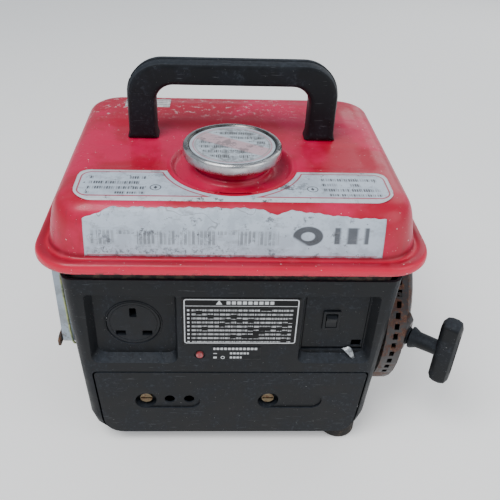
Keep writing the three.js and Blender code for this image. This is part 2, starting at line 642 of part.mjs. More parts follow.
// The big end is left open, so that the crankpin turns freely under the rod.
function pistonAndRod() {
  const crown = deckHeight - 1.5;
  const skirt = crown - 38;
  const pinAt = [crown - 22, 0];
  const body = cut(
    rod('y', boreRadius - gap, skirt, crown, [0, 0], 28),
    rod('y', boreRadius - 3.6, skirt - 1, crown - 4.5, [0, 0], 28),
    rod('x', 5.3, -30, 30, pinAt, 14),
  );
  addPiece('piston', inEngine(body), castAlloy);
  const sweepRadius = crankThrow + 7;
  const rodSolid = join(
    rod('x', 8.5, -5, 5, pinAt, 16),
    block3(-3.5, 3.5, sweepRadius + 6, pinAt[0], -4.5, 4.5),
    cut(block3(-5, 5, sweepRadius - 8, sweepRadius + 8, -13, 13),
      rod('x', sweepRadius + 2.5, -10, 10, [0, 0], 40)),
    rod('x', 5, -20, 20, pinAt, 14),
  );
  addPiece('connecting_rod', inEngine(rodSolid), brightSteel);
}

function crankshaft() {
  const web = (a, b) => rod('x', 33, a, b, [0, 0], 28);
  addPiece('crankshaft', inEngine(join(
    web(-20, -7.5),
    web(7.5, 20),
    rod('x', 7, -8, 8, [crankThrow, 0], 16),
    rod('x', journalRadius, 19, shroudOut - 2 - engineX, [0, 0], 20),
    rod('x', journalRadius, rotorEnd - 6 - engineX, -19, [0, 0], 20),
  )), brightSteel);
  const bearing = (a, b) => tube('x', journalRadius + gap, 17 - gap, a, b, shaft, 24);
  addPiece('bearing_left', bearing(engineX - 35, engineX - 23), brightSteel);
  addPiece('bearing_right', bearing(engineX + 23, engineX + 35), brightSteel);
}

// ---------------------------------------------------------------- fan and shroud
const fanRadius = shroudRadius - 8;
function flywheelFan() {
  const blades = around(12, (degrees) => aboutShaft(block3(shroudIn + 4, shroudOut - 6,
    shaft[0] + 28, shaft[0] + fanRadius, shaft[1] - 1.2, shaft[1] + 1.2), degrees));
  const wheel = join(
    rod('x', 14, shroudIn - 4, shroudOut - 6, shaft, 24),
    rod('x', fanRadius - 10, shroudIn + 2, shroudIn + 5, shaft, 36),
    tube('x', 19, 21, shroudIn + 4, shroudOut - 1, shaft, 24),
    ...blades,
  );
  addPiece('flywheel_fan', cut(wheel, rod('x', journalRadius + gap, shroudIn - 9, shroudOut - 1,
    shaft, 20)), castAlloy);
  const coilLow = shaft[1] + 49;
  addPiece('ignition_coil', join(
    block3(shroudIn - 24, shroudIn - 6, shaft[0] - 12, shaft[0] + 12, coilLow, coilLow + 18),
    rod('y', 4.5, shaft[0] + 10, shaft[0] + 20, [shroudIn - 15, coilLow + 9], 12),
  ), blackPlastic);
}

function fanShroud() {
  const r = shroudRadius;
  const inner = 46;
  const caseRight = engineX + caseHalf + gap;
  const shell = turned('x', [[inner, caseRight], [inner + 2, caseRight], [inner + 2, shroudIn],
    [r, shroudIn], [r, shroudOut], [recoilRadius - 3, shroudOut], [recoilRadius - 3, shroudOut - 2],
    [r - 2, shroudOut - 2], [r - 2, shroudIn + 1.6], [inner, shroudIn + 1.6], [inner, caseRight]],
  shaft, 38);
  const rimSlots = Array.from({ length: 14 }, (_, k) => aboutShaft(block3(shroudOut - 10,
    shroudOut - 6, shaft[0] - r - 3, shaft[0] - r + 5, shaft[1] - 3, shaft[1] + 3), -56 + 6.2 * k));
  const faceSlots = Array.from({ length: 10 }, (_, k) => aboutShaft(block3(shroudOut - 5,
    shroudOut + 2, shaft[0] + recoilRadius + 4, shaft[0] + r - 5, shaft[1] - 2.5, shaft[1] + 2.5),
  36 * k + 8));
  const airExit = block3(shroudIn - 2, shroudIn + 3, shaft[0] + 52, shaft[0] + 76,
    shaft[1] - 26, shaft[1] + 30);
  addPiece('fan_shroud', cut(shell, ...rimSlots, ...faceSlots, airExit), blackPaint);
}

// ---------------------------------------------------------------- hand starter
const pull = [Math.cos(THREE.MathUtils.degToRad(pullAngle)),
  -Math.sin(THREE.MathUtils.degToRad(pullAngle)), 0];
const alongPull = (s) => pullFrom.map((value, n) => value + s * pull[n]);
const onPull = (solid) => solid.rotate([0, 0, -pullAngle]).translate(pullFrom);
const ropeX = shroudOut + gap + 1 + reelWidth / 2;
const ropeRadius = 1.7;
const windRadius = 36;

// Where the straight rope leaves the winding, seen along the shaft.
function ropeTangent() {
  const away = [pullFrom[1] + 6 - shaft[0], pullFrom[2] - shaft[1]];
  const far = Math.hypot(...away);
  const lay = windRadius + 1.6 + gap + ropeRadius;
  const turn = Math.atan2(away[1], away[0]) - Math.acos(lay / far);
  return [shaft[0] + lay * Math.cos(turn), shaft[1] + lay * Math.sin(turn)];
}

function handStarter() {
  const base = shroudOut + gap;
  const r = recoilRadius;
  const cup = turned('x', [[r, base], [r, base + 5], [r - 4, recoilOut - 3], [r - 10, recoilOut],
    [0, recoilOut], [0, recoilOut - 2], [r - 10.8, recoilOut - 2], [r - 6, recoilOut - 4],
    [r - 2.2, base + 5], [r - 2.2, base], [r, base]], shaft, 36);
  const [ty, tz] = ropeTangent();
  const ropePoints = [[ropeX, ty, tz], [ropeX, (ty + pullFrom[1]) / 2, (tz + pullFrom[2]) / 2],
    [ropeX, pullFrom[1] + 7, pullFrom[2]], alongPull(-3.6)];
  const boss = cut(block3(base, ropeX + 9, pullFrom[1] - 6, shaft[0] - r + 16,
    pullFrom[2] - 11, pullFrom[2] + 11), onPull(block3(-0.5, 40, -40, 40, -40, 40)));
  const drum = rod('x', shroudRadius + gap, shroudIn - 5, base, shaft, 44);
  const inside = rod('x', r - 3, base - 1, recoilOut - 4, shaft, 36);
  const post = rod('x', 4.5, base + 1, recoilOut - 1, shaft, 16);
  const windows = around(8, (degrees) => aboutShaft(block3(recoilOut - 6, recoilOut + 2,
    shaft[0] + 20, shaft[0] + 42, shaft[1] - 3.5, shaft[1] + 3.5), degrees + 12));
  const channel = swept(ropePoints, ropeRadius + 1.2, { sides: 8, steps: 16 });
  const collarRoom = onPull(rod('x', 8.3, -3.3, 12, [0, 0], 20));
  addPiece('recoil_cover', cut(join(cup, post, cut(boss, inside)), drum, channel, collarRoom,
    ...windows), blackPaint);

  const reelIn = base + 1;
  const reelOut = reelIn + reelWidth;
  addPiece('starter_reel', cut(turned('x', [[0, reelIn], [reelRadius, reelIn],
    [reelRadius, reelIn + 1], [windRadius - 3, reelIn + 1], [windRadius - 3, reelOut - 1],
    [reelRadius, reelOut - 1], [reelRadius, reelOut], [0, reelOut]], shaft, 32),
  rod('x', 4.5 + gap, reelIn - 1, reelIn + 10, shaft, 16)), blackPlastic);
  addPiece('rope_winding', tube('x', windRadius - 3 + gap, windRadius + 1.6,
    reelIn + 1 + gap, reelOut - 1 - gap, shaft, 32), ropeFibre);
  addPiece('recoil_spring', spiralSpring(reelOut + gap, recoilOut - 2 - gap), brightSteel);
  addPiece('starter_rope', swept(ropePoints, ropeRadius, { sides: 8, steps: 16 }), ropeFibre);
  addPiece('rope_guide', onPull(turned('x', [[ropeRadius + 0.8, -3], [8, -3], [8, 1],
    [6.5, 2], [ropeRadius + 0.8, 2], [ropeRadius + 0.8, -3]], [0, 0], 20)), blackPlastic);
  starterHandle();
}

// A flat spring wound three times round the reel's post.
function spiralSpring(a, b) {
  const turns = 3;
  const steps = 20 * turns;
  const edge = (offset) => Array.from({ length: steps + 1 }, (_, k) => {
    const angle = (2 * Math.PI * turns * k) / steps;
    const r = 8 + (18 * k) / steps + offset;
    return new THREE.Vector2(shaft[0] + r * Math.cos(angle), shaft[1] + r * Math.sin(angle));
  });
  return prism('x', new THREE.Shape([...edge(0.9), ...edge(-0.9).reverse()]), a, b);
}

function starterHandle() {
  const stemFrom = 2.6;
  const gripFrom = 26;
  const gripTo = gripFrom + gripSize.thick;
  const half = gripSize.width / 2;
  const tall = gripSize.height / 2;
  const grip = loft([[gripFrom, 3.5], [gripFrom + 2.5, 0.8], [gripFrom + 6, 0], [gripTo - 6, 0],
    [gripTo - 2, 1], [gripTo, 4]].map(([w, inset]) => ring('x', [-half + inset, half - inset],
    [-tall + inset, tall - inset], 5, 5, w, 3)));
  const stem = turned('x', [[0, stemFrom], [9.8, stemFrom], [9.8, stemFrom + 2], [7.4, stemFrom + 7], [7, gripFrom + 1],
    [0, gripFrom + 1]], [0, 0], 20);
  const slot = block3(gripTo - 9, gripTo + 1, -3.4, 3.4, -tall + 12, tall - 12);
  const bore = rod('x', ropeRadius + 0.6, stemFrom - 1, gripTo - 8, [0, 0], 10);
  addPiece('starter_grip', onPull(cut(join(grip, stem), slot, bore)), blackPlastic);
}

// ---------------------------------------------------------------- generator windings
const rotorEnd = -42;
function windings() {
  const right = engineX - caseHalf - 16;
  addPiece('stator', join(
    tube('x', rotorRadius + 0.8, statorRadius, rotorEnd + 2, right, shaft, 36),
    tube('x', rotorRadius + 2, statorRadius - 6, rotorEnd - 6, right + 8, shaft, 36),
  ), copper);
  addPiece('rotor', tube('x', journalRadius + gap, rotorRadius, rotorEnd, right + 2, shaft, 32),
    rustySteel);
  const r = statorRadius + 3.5;
  const open = engineX - caseHalf - gap;
  const end = rotorEnd - 26;
  const cup = turned('x', [[r - 3, open], [r, open], [r, end + 6], [r - 5, end], [0, end],
    [0, end + 2.4], [r - 6, end + 2.4], [r - 3, end + 7], [r - 3, open]], shaft, 40);
  const slots = around(10, (degrees) => aboutShaft(block3(end - 2, end + 5, shaft[0] + 20,
    shaft[0] + 46, shaft[1] - 3, shaft[1] + 3), degrees));
  addPiece('alternator_cover', cut(cup, ...slots), castAlloy);
}

// ---------------------------------------------------------------- exhaust
const silencer = { y: 228, z: 110, radius: 33, left: -104, right: -12 };
function exhaust() {
  const { y, z, radius, left, right } = silencer;
  const at = [y, z];
  const shell = turned('x', [[0, left], [radius - 4, left], [radius, left + 4], [radius, right - 4],
    [radius - 4, right], [0, right]], at, 28);
  const inside = turned('x', [[0, left + 2], [radius - 5, left + 2], [radius - 2, left + 5],
    [radius - 2, right - 5], [radius - 5, right - 2], [0, right - 2]], at, 28);
  const tailAt = [left + 22, z - 4];
  const tailEnd = y + radius + 15;
  const tail = tube('y', 5.5, 7.5, y + radius - 6, tailEnd, tailAt, 16);
  addPiece('silencer', cut(join(cut(shell, inside), tail), rod('y', 5.5, y + radius - 8, tailEnd + 1,
    tailAt, 16), rod('x', 5.5, right - 5, right + 1, at, 14)), rustySteel);
  const tilt = THREE.MathUtils.degToRad(cylinderTilt);
  const port = [engineX - 44 - gap, shaft[0] + 76 * Math.cos(tilt), shaft[1] + 76 * Math.sin(tilt)];
  addPiece('exhaust_elbow', swept([port, [port[0] - 7, port[1], port[2]],
    [(port[0] + right) / 2, (port[1] + y) / 2, (port[2] + z) / 2], [right + 7, y, z],
    [right + gap, y, z]], 7.5, { bore: 5.5, sides: 10, steps: 14 }), rustySteel);
  const guardIn = radius + 7;
  const sheet = cut(tube('x', guardIn, guardIn + 1.6, left + 2, right - 2, at, 40),
    block3(left - 5, right + 5, y - 60, y - 8, z - 60, z + 60));
  const vents = Array.from({ length: 5 }, (_, k) => k).flatMap((k) => [-28, 0, 28].map((degrees) =>
    block3(left + 12 + 19 * k, left + 24 + 19 * k, y + radius, y + guardIn + 6, z - 4, z + 4)
      .translate([0, -y, -z]).rotate([degrees, 0, 0]).translate([0, y, z])));
  const legs = [left + 8, right - 16].map((x) => block3(x, x + 8, y + 2, y + 5, trayTop + gap,
    z - guardIn + 1.4));
  addPiece('silencer_guard', cut(join(sheet, ...legs), ...vents, rod('y', 8.5, y, tailEnd, tailAt, 16)), blackPaint);
}

// ---------------------------------------------------------------- base, feet and stays
const tray = { half: 116, front: boxDepth + 2, back: 246, low: 22 };
const stay = { y: 205, wide: 20, half: tray.half - 3 };

function base() {
  const { half, front, back, low } = tray;
  const rim = (x0, x1, y0, y1) => block3(x0, x1, y0, y1, low, low + 16);
  addPiece('base_tray', join(
    block3(-half, half, front, back, low, trayTop),
    rim(-half, -half + 2, front, back),
    rim(half - 2, half, front, back),
    rim(-half, half, back - 2, back),
  ), blackPaint);
  [-1, 1].forEach((side) => {
    const x = side * stay.half;
    const edge = (d) => Math.min(x - side * d, x - side * (d + 3));
    const upright = block3(edge(0.2), edge(0.2) + 3, stay.y - stay.wide / 2, stay.y + stay.wide / 2,
      trayTop + gap, tankFloor - 4);
    const tab = block3(Math.min(x, x - side * 20), Math.max(x, x - side * 20),
      stay.y - stay.wide / 2, stay.y + stay.wide / 2, tankFloor - 4.6, tankFloor - gap);
    const keep = block3(-stay.half + 0.2, stay.half - 0.2, 0, 400, 0, 400);
    addPiece(`tank_stay_${side < 0 ? 'left' : 'right'}`, join(upright, tab).intersect(keep),
      blackPaint);
  });
}

function feet() {
  const foot = (name, centre, r, high) => addPiece(name,
    turned('z', [[0, 0], [r - 1.5, 0], [r, 1.5], [r, high], [0, high]], centre, 28), darkRubber);
  const under = tray.low - gap;
  foot('foot_front_right', frontFoot.centre, frontFoot.radius, frontFoot.high);
  foot('foot_front_left', [-98, tray.front + 20], 15, under);
  foot('foot_back_left', [-98, tray.back - 16], 15, under);
  foot('foot_back_right', [98, tray.back - 16], 15, under);
}

// ---------------------------------------------------------------- leads
function leads() {
  const tilt = THREE.MathUtils.degToRad(cylinderTilt);
  const capAt = deckHeight + 49;
  const plug = [engineX + 22.5, shaft[0] + capAt * Math.cos(tilt), shaft[1] + capAt * Math.sin(tilt)];
  const coil = [shroudIn - 15, shaft[0] + 20.5, shaft[1] + 58];
  addPiece('ignition_lead', swept([coil, [coil[0], coil[1] + 8, coil[2]],
    [coil[0] - 2, coil[1] + 60, coil[2] + 8], [plug[0] + 34, plug[1] - 24, plug[2] + 20],
    [plug[0] + 9, plug[1], plug[2]], plug], 3.2, { sides: 8, steps: 22 }), darkRubber);
}

controlBox();
outletSocket();
overloadBreaker();
switchPlate();
rockerSwitch();
toolCover();
fuelTank();
carryHandle();
fuelTap();
carburettor();
airCleaner();
crankcase();
engineMounts();
cylinderAndHead();
pistonAndRod();
crankshaft();
flywheelFan();
fanShroud();
handStarter();
windings();
exhaust();
base();
feet();
leads();

// The origin goes under the middle of the footprint.
const footprint = new THREE.Box3().setFromObject(generator).getCenter(new THREE.Vector3());
generator.position.set(-footprint.x, -footprint.y, 0);

export default generator;
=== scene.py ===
import json
import math

import bmesh
import bpy
import numpy as np
from bpy.props import FloatProperty, FloatVectorProperty, IntProperty, PointerProperty
from mathutils import Matrix, Vector


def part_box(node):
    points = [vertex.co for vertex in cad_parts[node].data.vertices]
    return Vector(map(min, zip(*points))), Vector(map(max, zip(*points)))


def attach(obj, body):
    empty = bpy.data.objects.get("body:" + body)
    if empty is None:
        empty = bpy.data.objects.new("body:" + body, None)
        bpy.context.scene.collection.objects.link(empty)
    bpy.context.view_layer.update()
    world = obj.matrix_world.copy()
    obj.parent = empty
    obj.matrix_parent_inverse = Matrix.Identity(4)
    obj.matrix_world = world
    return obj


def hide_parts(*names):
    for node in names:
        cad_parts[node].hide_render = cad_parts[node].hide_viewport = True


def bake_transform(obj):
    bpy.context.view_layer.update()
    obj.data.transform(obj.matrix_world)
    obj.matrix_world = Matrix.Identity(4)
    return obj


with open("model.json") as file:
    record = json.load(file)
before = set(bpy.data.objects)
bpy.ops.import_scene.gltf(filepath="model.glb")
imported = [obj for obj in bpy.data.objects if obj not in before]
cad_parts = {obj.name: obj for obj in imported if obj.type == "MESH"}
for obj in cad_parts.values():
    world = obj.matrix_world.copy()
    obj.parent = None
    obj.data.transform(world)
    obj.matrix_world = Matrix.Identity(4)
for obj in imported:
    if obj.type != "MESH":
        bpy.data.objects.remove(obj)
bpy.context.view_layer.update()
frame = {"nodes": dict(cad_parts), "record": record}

bl_info = {
    "name": "Portable Generator Finish",
    "version": (1, 0, 0),
    "blender": (4, 5, 0),
    "location": "View3D > Sidebar > Generator",
    "description": "Builds the visible skin, labels and finishes of a portable generator",
    "category": "Object",
}

BODY_OF = {node: body for body, nodes in frame["record"]["behaviour"]["bodies"].items()
           for node in nodes}
SLOT_OF = {s["node"]: s["material_slot"] for s in frame["record"]["subparts"]}

# The layout frame is in millimetres: x from the middle of the panel, y from its face,
# z from the ground. The filler neck stands at (-1, 75), which ties it to the row frame.
_neck = [(a + b) * 500 for a, b in zip(*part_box("filler_neck"))]
OFFSET = np.array([_neck[0] + 1.0, _neck[1] - 75.0, 0.0])


def row(points):
    """Layout millimetres to row-frame metres."""
    return (np.asarray(points, dtype=float) + OFFSET) / 1000


# ---- settings
class GeneratorColours(bpy.types.PropertyGroup):
    """Linear base colours that several finishes share."""
    paint: FloatVectorProperty(
        name="Tank paint", description="Base colour of the tank's paint",
        default=(0.43, 0.0010, 0.026), size=3, subtype="COLOR", min=0, max=1)
    faded: FloatVectorProperty(
        name="Faded paint", description="Colour of sun-bleached paint",
        default=(0.62, 0.006, 0.075), size=3, subtype="COLOR", min=0, max=1)
    plastic: FloatVectorProperty(
        name="Moulded plastic", description="Base colour of the black plastic",
        default=(0.0030, 0.0038, 0.0054), size=3, subtype="COLOR", min=0, max=1)
    dust: FloatVectorProperty(
        name="Dust", description="Colour of dried dust and grime",
        default=(0.034, 0.041, 0.052), size=3, subtype="COLOR", min=0, max=1)
    rust: FloatVectorProperty(
        name="Rust", description="Colour of rust",
        default=(0.075, 0.024, 0.012), size=3, subtype="COLOR", min=0, max=1)


class GeneratorSizes(bpy.types.PropertyGroup):
    """Sizes of the rebuilt surfaces."""
    tank_half: FloatProperty(
        name="Tank half width", description="Half the width over the tank's flange",
        default=0.155, unit="LENGTH")
    dish_radius: FloatProperty(
        name="Dish radius", description="Radius of the round dish at the filler",
        default=0.050, unit="LENGTH")
    cap_radius: FloatProperty(
        name="Cap radius", description="Outer radius of the filler cap",
        default=0.040, unit="LENGTH")
    edge: FloatProperty(
        name="Moulded edge", description="Radius of the small rounding on moulded edges",
        default=0.0007, unit="LENGTH")
    ring_steps: IntProperty(
        name="Ring steps", description="Points around the tank's rings", default=240, min=48)


def colours():
    """The colours set in the sidebar."""
    return bpy.context.scene.generator_colours


def sizes():
    """The sizes set in the sidebar, in metres."""
    return bpy.context.scene.generator_sizes


# ---- shader helper
class Val:
    """One float socket in a node tree, with arithmetic that adds Math nodes."""

    def __init__(self, tree, socket):
        self.t, self.s = tree, socket

    def _op(self, kind, *others):
        node = self.t.nodes.new("ShaderNodeMath")
        node.operation = kind
        for i, v in enumerate((self,) + others):
            if isinstance(v, Val):
                self.t.links.new(v.s, node.inputs[i])
            else:
                node.inputs[i].default_value = v
        return Val(self.t, node.outputs[0])

    def __add__(self, o): return self._op("ADD", o)
    def __sub__(self, o): return self._op("SUBTRACT", o)
    def __mul__(self, o): return self._op("MULTIPLY", o)
    def __truediv__(self, o): return self._op("DIVIDE", o)
    def inv(self): return (self * -1.0) + 1.0
    def abs(self): return self._op("ABSOLUTE")
    def fract(self): return self._op("FRACT")
    def floor(self): return self._op("FLOOR")
    def sqrt(self): return self._op("SQRT")
    def max(self, o): return self._op("MAXIMUM", o)
    def min(self, o): return self._op("MINIMUM", o)

    def step(self, low, high):
        """0 below low, 1 above high, smooth between; falls instead if low > high."""
        node = self.t.nodes.new("ShaderNodeMapRange")
        node.interpolation_type = "SMOOTHSTEP"
        self.t.links.new(self.s, node.inputs[0])
        flip = low > high
        node.inputs[1].default_value, node.inputs[2].default_value = sorted((low, high))
        node.inputs[3].default_value = 1.0 if flip else 0.0
        node.inputs[4].default_value = 0.0 if flip else 1.0
        return Val(self.t, node.outputs[0])

    def band(self, low, high, soft=0.3):
        """1 between low and high and 0 outside, with edges soft wide on each side."""
        return self.step(low - soft, low + soft) * self.step(high + soft, high - soft)


class Finish:
    """A principled material whose colour, roughness and bump are built up in layers."""

    def __init__(self, name, base, rough=0.5, metal=0.0, coat=0.0, coat_rough=0.1, spec=0.5):
        self.m = bpy.data.materials.new(name + "_finish")
        self.m.use_nodes = True
        self.t = self.m.node_tree
        self.p = self.t.nodes["Principled BSDF"]
        self.link = self.t.links.new
        for socket, value in (("Metallic", metal), ("Coat Weight", coat),
                              ("Coat Roughness", coat_rough), ("Specular IOR Level", spec)):
            self.p.inputs[socket].default_value = value
        self.colour = self.rgb(base)
        self.rough = None
        self.base_rough = rough
        self.heights = []
        tc = self.node("TexCoord")
        mad = self.node("VectorMath")
        mad.operation = "MULTIPLY_ADD"
        mad.inputs[1].default_value = (1000, 1000, 1000)
        mad.inputs[2].default_value = tuple(-OFFSET)
        self.link(tc.outputs["Object"], mad.inputs[0])
        self.mm = mad.outputs[0]
        sep = self.node("SeparateXYZ")
        self.link(self.mm, sep.inputs[0])
        self.x, self.y, self.z = (Val(self.t, sep.outputs[i]) for i in range(3))
        self.tc = tc

    def node(self, kind):
        """A new shader node of a kind."""
        return self.t.nodes.new("ShaderNode" + kind)

    def rgb(self, c):
        """A node that holds one colour."""
        node = self.node("RGB")
        node.outputs[0].default_value = (*c[:3], 1)
        return node.outputs[0]

    def uv(self):
        """The piece's own UV map, in millimetres."""
        sep = self.node("SeparateXYZ")
        self.link(self.tc.outputs["UV"], sep.inputs[0])
        return Val(self.t, sep.outputs[0]) * 1000.0, Val(self.t, sep.outputs[1]) * 1000.0

    def up(self):
        """The z part of the surface's normal: 1 where it faces up."""
        node = self.node("NewGeometry")
        sep = self.node("SeparateXYZ")
        self.link(node.outputs["Normal"], sep.inputs[0])
        return Val(self.t, sep.outputs[2])

    def edges(self):
        """1 on convex edges, from the mesh's pointiness: worn edges, and on the brass partly a
        painted highlight.
        """
        node = self.node("NewGeometry")
        return Val(self.t, node.outputs["Pointiness"]).step(0.52, 0.60)

    def noise(self, size, detail=4, rough=0.55, stretch=(1, 1, 1), shift=0.0):
        """Fractal noise whose features are about size millimetres across."""
        node = self.node("TexNoise")
        node.inputs["Scale"].default_value = 1.0
        node.inputs["Detail"].default_value = detail
        node.inputs["Roughness"].default_value = rough
        mp = self.node("Mapping")
        mp.inputs["Scale"].default_value = [1 / (size * s) for s in stretch]
        mp.inputs["Location"].default_value = (shift, shift * 0.7, -shift)
        self.link(self.mm, mp.inputs[0])
        self.link(mp.outputs[0], node.inputs["Vector"])
        return (Val(self.t, node.outputs["Fac"]) - 0.5) * 1.9 + 0.5

    def cell(self, u, v):
        """A fixed random number for each whole (u, v)."""
        comb = self.node("CombineXYZ")
        self.link(u.floor().s, comb.inputs[0])
        self.link(v.floor().s, comb.inputs[1])
        node = self.node("TexWhiteNoise")
        node.noise_dimensions = "2D"
        self.link(comb.outputs[0], node.inputs["Vector"])
        return Val(self.t, node.outputs["Value"])

    def lines(self, u, v, pitch, fill, word, seed=0.0):
        """Rows of short dashes that stand for unreadable small print."""
        inside = (v / pitch).fract().band(0.5 - fill / 2, 0.5 + fill / 2, 0.06)
        words = self.cell(u / word + seed, v / pitch + seed).step(0.14, 0.16)
        letter = (u / (word * 0.2)).fract().band(0.10, 0.84, 0.08)
        height = self.cell(u / (word * 0.2), v / pitch + seed * 2).step(0.1, 0.6) * 0.55 + 0.45
        stroke = letter * height * (u / word + seed).fract().band(0.08, 1.1, 0.04)
        return inside * words * stroke

    def layer(self, colour, amount):
        """Covers what is there with a colour, by amount."""
        node = self.node("Mix")
        node.data_type = "RGBA"
        node.clamp_factor = True
        if isinstance(amount, Val):
            self.link(amount.s, node.inputs[0])
        else:
            node.inputs[0].default_value = amount
        self.link(self.colour, node.inputs[6])
        self.link(self.rgb(colour), node.inputs[7])
        self.colour = node.outputs[2]
        return self

    def patches(self, colour, amount, low, high, *size, **more):
        """Covers with a colour where a noise of this size passes from low to high."""
        return self.layer(colour, self.noise(*size, **more).step(low, high) * amount)

    def roughen(self, amount):
        """Adds a varying term to the roughness."""
        self.rough = amount if self.rough is None else self.rough + amount
        return self

    def bump(self, height, depth=0.1):
        """Adds height, in units of depth millimetres."""
        self.heights.append(height * depth)
        return self

    def done(self):
        """Joins the layers to the shader and returns the material."""
        self.link(self.colour, self.p.inputs["Base Color"])
        if self.rough is None:
            self.p.inputs["Roughness"].default_value = self.base_rough
        else:
            total = (self.rough + self.base_rough).max(0.05).min(1.0)
            self.link(total.s, self.p.inputs["Roughness"])
        if self.heights:
            total = self.heights[0]
            for h in self.heights[1:]:
                total = total + h
            node = self.node("Bump")
            node.inputs["Strength"].default_value = 1.0
            node.inputs["Distance"].default_value = 0.001
            self.link(total.s, node.inputs["Height"])
            self.link(node.outputs[0], self.p.inputs["Normal"])
        return self.m


# ---- finishes
def tank_paint():
    """Faded glossy red over pressed steel: bleached cloudy areas, a painted highlight on the lip,
    painted shade as a dark line in the groove inside the flange, chips down to pale primer,
    grime streaks on the walls, and dark patches along the bottom of the lip."""
    c = colours()
    f = Finish("tank_paint", c.paint, rough=0.36, coat=0.18, coat_rough=0.14, spec=0.36)
    cloud = f.noise(60, 5)
    f.layer(c.faded, cloud.step(0.38, 0.68) * 0.75)
    # Painted highlight: a brighter pink band on the rounded lip of the flange.
    f.layer((0.66, 0.002, 0.040), f.z.band(205, 213.6, 1.2) * 0.85)
    # Painted shade: a dark band in the groove between the lip and the wall.
    f.layer((0.20, 0.002, 0.010), f.z.band(213.0, 216.8, 1.6) * 0.7)
    haze = f.noise(14, 6, 0.7, shift=3.1)
    f.layer((0.50, 0.07, 0.12), haze.step(0.56, 0.9) * 0.22)
    streak = f.noise(5, 4, 0.6, stretch=(1, 1, 7), shift=9)
    f.layer((0.20, 0.03, 0.04), streak.step(0.62, 0.85) * f.z.band(214, 250, 6) * 0.35)
    chips = f.noise(2.6, 3, 0.75, shift=5).step(0.86, 0.885)
    f.layer((0.72, 0.60, 0.58), chips * 0.85)
    rear = f.noise(7, 5, 0.8, shift=14).step(0.64, 0.69) * f.y.step(150, 178)
    rear = rear * f.x.band(-135, 60, 20)
    f.layer((0.66, 0.42, 0.42), rear * 0.75)
    soot = f.noise(2.0, 3, 0.7, shift=21).step(0.88, 0.92)
    f.layer((0.05, 0.02, 0.02), soot * 0.55)
    # Dark patches along the bottom of the lip, below z 208.5.
    lip = f.noise(6, 4, 0.7, shift=31).step(0.57, 0.66) * f.z.step(208.5, 205.5)
    f.layer((0.07, 0.03, 0.025), lip * 0.8)
    f.roughen(cloud.step(0.35, 0.7) * 0.12).roughen(haze.step(0.5, 0.8) * 0.2)
    f.bump(f.noise(1.8, 2), 0.025).bump(f.noise(40, 2, shift=2), 0.5)
    f.bump(chips * -1.0, 0.06)
    return f.done()


def moulded_black(name="moulded_black", dusty=1.0, gloss=0.0):
    """Black moulded plastic: fine texture, pale scuffs, dust that settles on what faces up."""
    c = colours()
    f = Finish(name, c.plastic, rough=0.42 - gloss, spec=0.24)
    patch = f.noise(32, 5, 0.6)
    f.layer((0.0075, 0.0095, 0.0135), patch.step(0.4, 0.7) * 0.7)
    fine = f.noise(3.5, 6, 0.75, shift=7)
    top = f.up().step(0.15, 0.85)
    f.layer(c.dust, top * (fine.step(0.25, 0.7) * 0.35 + 0.4) * (0.8 * dusty))
    f.layer(c.dust, fine.step(0.56, 0.74) * patch.step(0.44, 0.62) * (0.42 * dusty))
    scratch = f.noise(2.2, 3, 0.6, stretch=(9, 1, 0.5), shift=12).step(0.84, 0.88)
    f.layer((0.15, 0.16, 0.175), scratch * 0.26 * dusty)
    nicks = f.noise(1.6, 2, 0.7, shift=17).step(0.93, 0.95)
    f.layer((0.34, 0.34, 0.34), nicks * 0.6 * dusty)
    f.roughen(patch.step(0.3, 0.7) * 0.14).roughen(top * 0.2)
    f.bump(f.noise(0.9, 2), 0.035).bump(fine, 0.05)
    return f.done()


def black_steel():
    """Black paint on pressed steel, with rust breaking through low down and at edges."""
    c = colours()
    f = Finish("black_steel", (0.012, 0.012, 0.013), rough=0.42, coat=0.1)
    grit = f.noise(9, 6, 0.7)
    rust = grit.step(0.42, 0.56) * f.noise(34, 3, shift=4).step(0.28, 0.46)
    f.layer(c.rust, rust * 0.9)
    f.layer((0.16, 0.075, 0.035), rust * f.noise(2.2, 4, 0.7, shift=8).step(0.5, 0.66) * 0.7)
    f.patches(c.dust, 0.25, 0.52, 0.72, 4, 5, 0.7, shift=6)
    f.layer(c.rust, f.edges() * 0.55)
    f.roughen(rust * 0.4)
    f.bump(grit, 0.08).bump(rust * f.noise(1.2, 3), 0.15)
    return f.done()


def rusty_steel():
    """Heat-stained bare steel: brown rust, blue-grey scale and pale ash."""
    f = Finish("rusty_steel", (0.10, 0.055, 0.035), rough=0.75, metal=0.35)
    f.patches((0.05, 0.05, 0.055), 0.8, 0.42, 0.62, 22, 5)
    f.patches((0.20, 0.085, 0.035), 0.8, 0.52, 0.66, 5, 6, 0.75, shift=3)
    f.patches((0.30, 0.22, 0.16), 0.6, 0.68, 0.74, 2, 3, 0.7, shift=9)
    f.bump(f.noise(1.6, 4, 0.7), 0.2)
    return f.done()


def cast_alloy():
    """Sand-cast aluminium: granular, greyed by oil and dust in the hollows."""
    f = Finish("cast_alloy", (0.40, 0.41, 0.42), rough=0.48, metal=0.85)
    oil = f.noise(16, 5, 0.65)
    f.layer((0.12, 0.11, 0.10), oil.step(0.48, 0.68) * 0.75)
    f.layer((0.60, 0.60, 0.60), f.edges() * 0.6)
    f.patches((0.25, 0.22, 0.18), 0.5, 0.58, 0.7, 3, 4, 0.7, shift=5)
    f.roughen(oil.step(0.4, 0.7) * 0.2)
    f.bump(f.noise(0.8, 3, 0.6), 0.09)
    return f.done()


